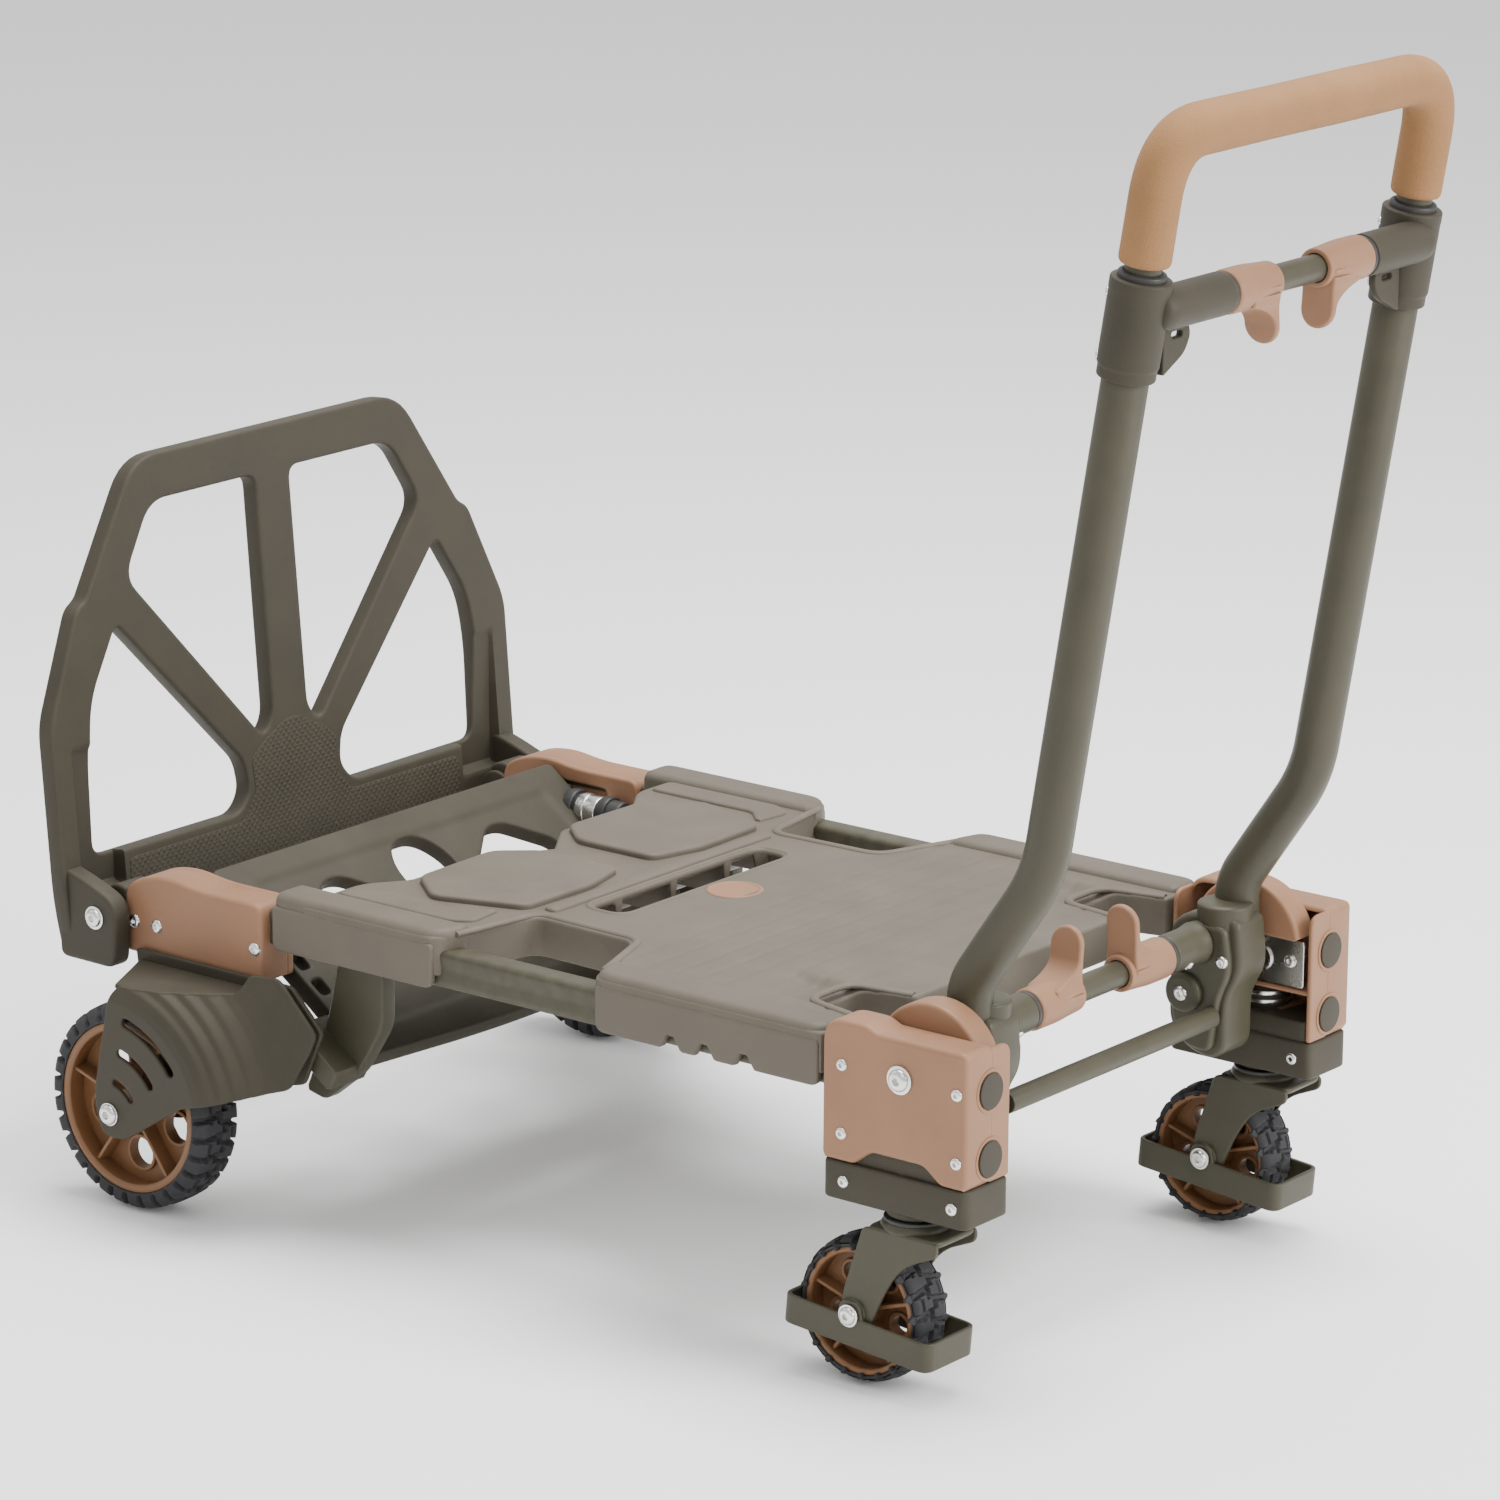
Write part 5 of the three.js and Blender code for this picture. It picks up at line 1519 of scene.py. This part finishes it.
def makeHandle():
    # fixed parts ride on the handle frame, sleeves on their triggers, the loop and its grip on the slider
    for label, side in sides.items():
        pieces = (
            (f"handle_knuckle_{label}", armShells(), paint, "frame_paint", [f"handle_arm_{label}"]),
            (f"handle_tube_{label}", uprightShells(), paint, "frame_paint", [f"upright_{label}"]),
            (f"tee_socket_{label}", socketShells(), moulding, "green_plastic", [f"t_socket_{label}"]),
            (f"knuckle_bolts_{label}", armFittings(), zinc, "zinc", []),
            (f"socket_screws_{label}", socketScrews(), zinc, "zinc", []),
            (f"bushes_{label}", bushShells(), dark, "green_plastic", []),
        )
        for name, shells, material, slot, replaced in pieces:
            makePiece(name, mirrored(shells, side), material, "handle_frame", replaced)
        for height, up, reach in (("upper", -1, 40), ("lower", 1, 48)):
            body = f"{height}_trigger_{label}"
            shells = mirrored(triggerShells(bars[height], up, reach), side)
            makePiece(f"{height}_slider_{label}", shells, tan, body, [body])
    x, z = bars["upper"]["x"], bars["upper"]["z"]
    makePiece(
        "upper_bar", crossRod(x, z, crossbar["upperHalf"], crossbar["radius"]), paint, "handle_frame",
        ["upper_crossbar"]
    )
    x, z = bars["lower"]["x"], bars["lower"]["z"]
    shells = crossRod(x, z, crossbar["lowerHalf"], crossbar["radius"])
    stubProfile = rounded(
        [(9, 79.8, 0.4), (13.4, 79.8, 1.5), (13.4, 108, 4), (15.4, 117.5, 3), (9, 117.5, 0.4)]
    )
    shells += bothSides(revolved(np.vstack([stubProfile, stubProfile[:1]]), (x, 0, z), (0, 1, 0), 56))
    makePiece("lower_bar", shells, paint, "handle_frame", ["lower_crossbar"])
    stubScrews = bothSides(
        screw((x - 10.8, 97, z - 7.6), 3.6, (-0.82, 0, -0.57)) + screw(
            (x + 9, 97, z - 9.6), 3.6, (0.68, 0, -0.73)
        )
    )
    makePiece("bar_screws", stubScrews, zinc, "handle_frame")
    makePiece(
        "lower_tie_rod", crossRod(tieRod["x"], tieRod["z"], crossbar["lowerHalf"], tieRod["radius"]), paint,
        "handle_frame", ["lower_rod"]
    )
    normal = np.cross((0, 1, 0), leanAxis())
    makePiece(
        "sliding_leg", tube(legPath(grip["legLow"]), normal, grip["leg"] - 0.1, 44), paint, "handle_slider",
        ["handle_loop"]
    )
    sleeve = makePiece("foam_grip", foamShells(), foam, "handle_slider", ["grip"])
    print("handle ready")


makeDeck()
makeRails()
makeToeEnd()
makeCarrier()
makeWheels()
makeHandleEnd()
makeCasters()
makeHandle()


# floor, light and camera

studio = {
    "lights": (  # where, size in metres, watts, what it points at
        ((1.6, -2.6, 2.6), 2.2, 22, (0, 0, 0.3)),
        ((-2.4, -1.4, 2.0), 2.0, 8, (0, 0, 0.3)),
        ((3.0, 0.6, 1.5), 1.8, 105, (0.1, 0, 0.4)),
        ((0.1, 0.5, 3.2), 2.4, 175, (0, 0, 0)),
    ),
    "sky": 1.0,
    "floor": (0.93, 0.93, 0.93),
}


def makeStudio():
    # a pale sky, four soft discs of light and a flat floor just under the wheels
    world = bpy.data.worlds.new("paleStudio")
    bpy.context.scene.world = world
    world.use_nodes = True
    background = world.node_tree.nodes["Background"]
    background.inputs[0].default_value = (1, 1, 1, 1)
    background.inputs[1].default_value = studio["sky"]
    for n, (place, size, power, target) in enumerate(studio["lights"]):
        light = bpy.data.lights.new(f"softbox_{n}", "AREA")
        light.shape, light.size, light.energy = "DISK", size, power
        lamp = bpy.data.objects.new(f"softbox_{n}", light)
        lamp.location = place
        lamp.rotation_euler = (Vector(target) - Vector(place)).to_track_quat("-Z", "Y").to_euler()
        bpy.context.scene.collection.objects.link(lamp)
    a = np.linspace(-12, 12, 49)
    u, v = np.meshgrid(a, a, indexing="ij")
    points = np.stack([u.ravel(), v.ravel(), np.full(u.size, -0.0015)], 1)
    mesh = bpy.data.meshes.new("floor")
    mesh.from_pydata(points.tolist(), [], gridFaces(49, 49).tolist())
    floor = bpy.data.objects.new("floor", mesh)
    bpy.context.scene.collection.objects.link(floor)
    material = bpy.data.materials.new("paleFloor")
    material.use_nodes = True
    tree = material.node_tree
    noise = addNode(tree, "ShaderNodeTexNoise", Scale=3.0, Detail=3.0)
    colour = mixed(tree, noise.outputs[0], (*studio["floor"], 1), (0.95, 0.95, 0.95, 1))
    tree.links.new(colour, tree.nodes["Principled BSDF"].inputs["Base Color"])
    tree.nodes["Principled BSDF"].inputs["Roughness"].default_value = 0.9
    mesh.materials.append(material)


view = {
    "azimuth": 38.1666, "tilt": 15.3693, "roll": 0.3191, "place": (2.60584, -3.31433, 1.49154), "lens": 154.15
}


def makeCamera():
    # forward = (-sin azimuth cos tilt, cos azimuth cos tilt, -sin tilt); the roll tips right from level
    azimuth, tilt, roll = np.radians([view["azimuth"], view["tilt"], view["roll"]])
    forward = Vector((-np.sin(azimuth) * np.cos(tilt), np.cos(azimuth) * np.cos(tilt), -np.sin(tilt)))
    level = forward.cross(Vector((0, 0, 1))).normalized()
    right = level * np.cos(roll) + level.cross(forward) * np.sin(roll)
    up = right.cross(forward)
    data = bpy.data.cameras.new("studioCamera")
    data.lens, data.sensor_width, data.clip_end = view["lens"], 36, 60
    camera = bpy.data.objects.new("studioCamera", data)
    turned = Matrix((right, up, -forward)).transposed().to_4x4()
    camera.matrix_world = Matrix.Translation(view["place"]) @ turned
    bpy.context.scene.collection.objects.link(camera)
    bpy.context.scene.camera = camera


makeStudio()
makeCamera()
print("studio ready")
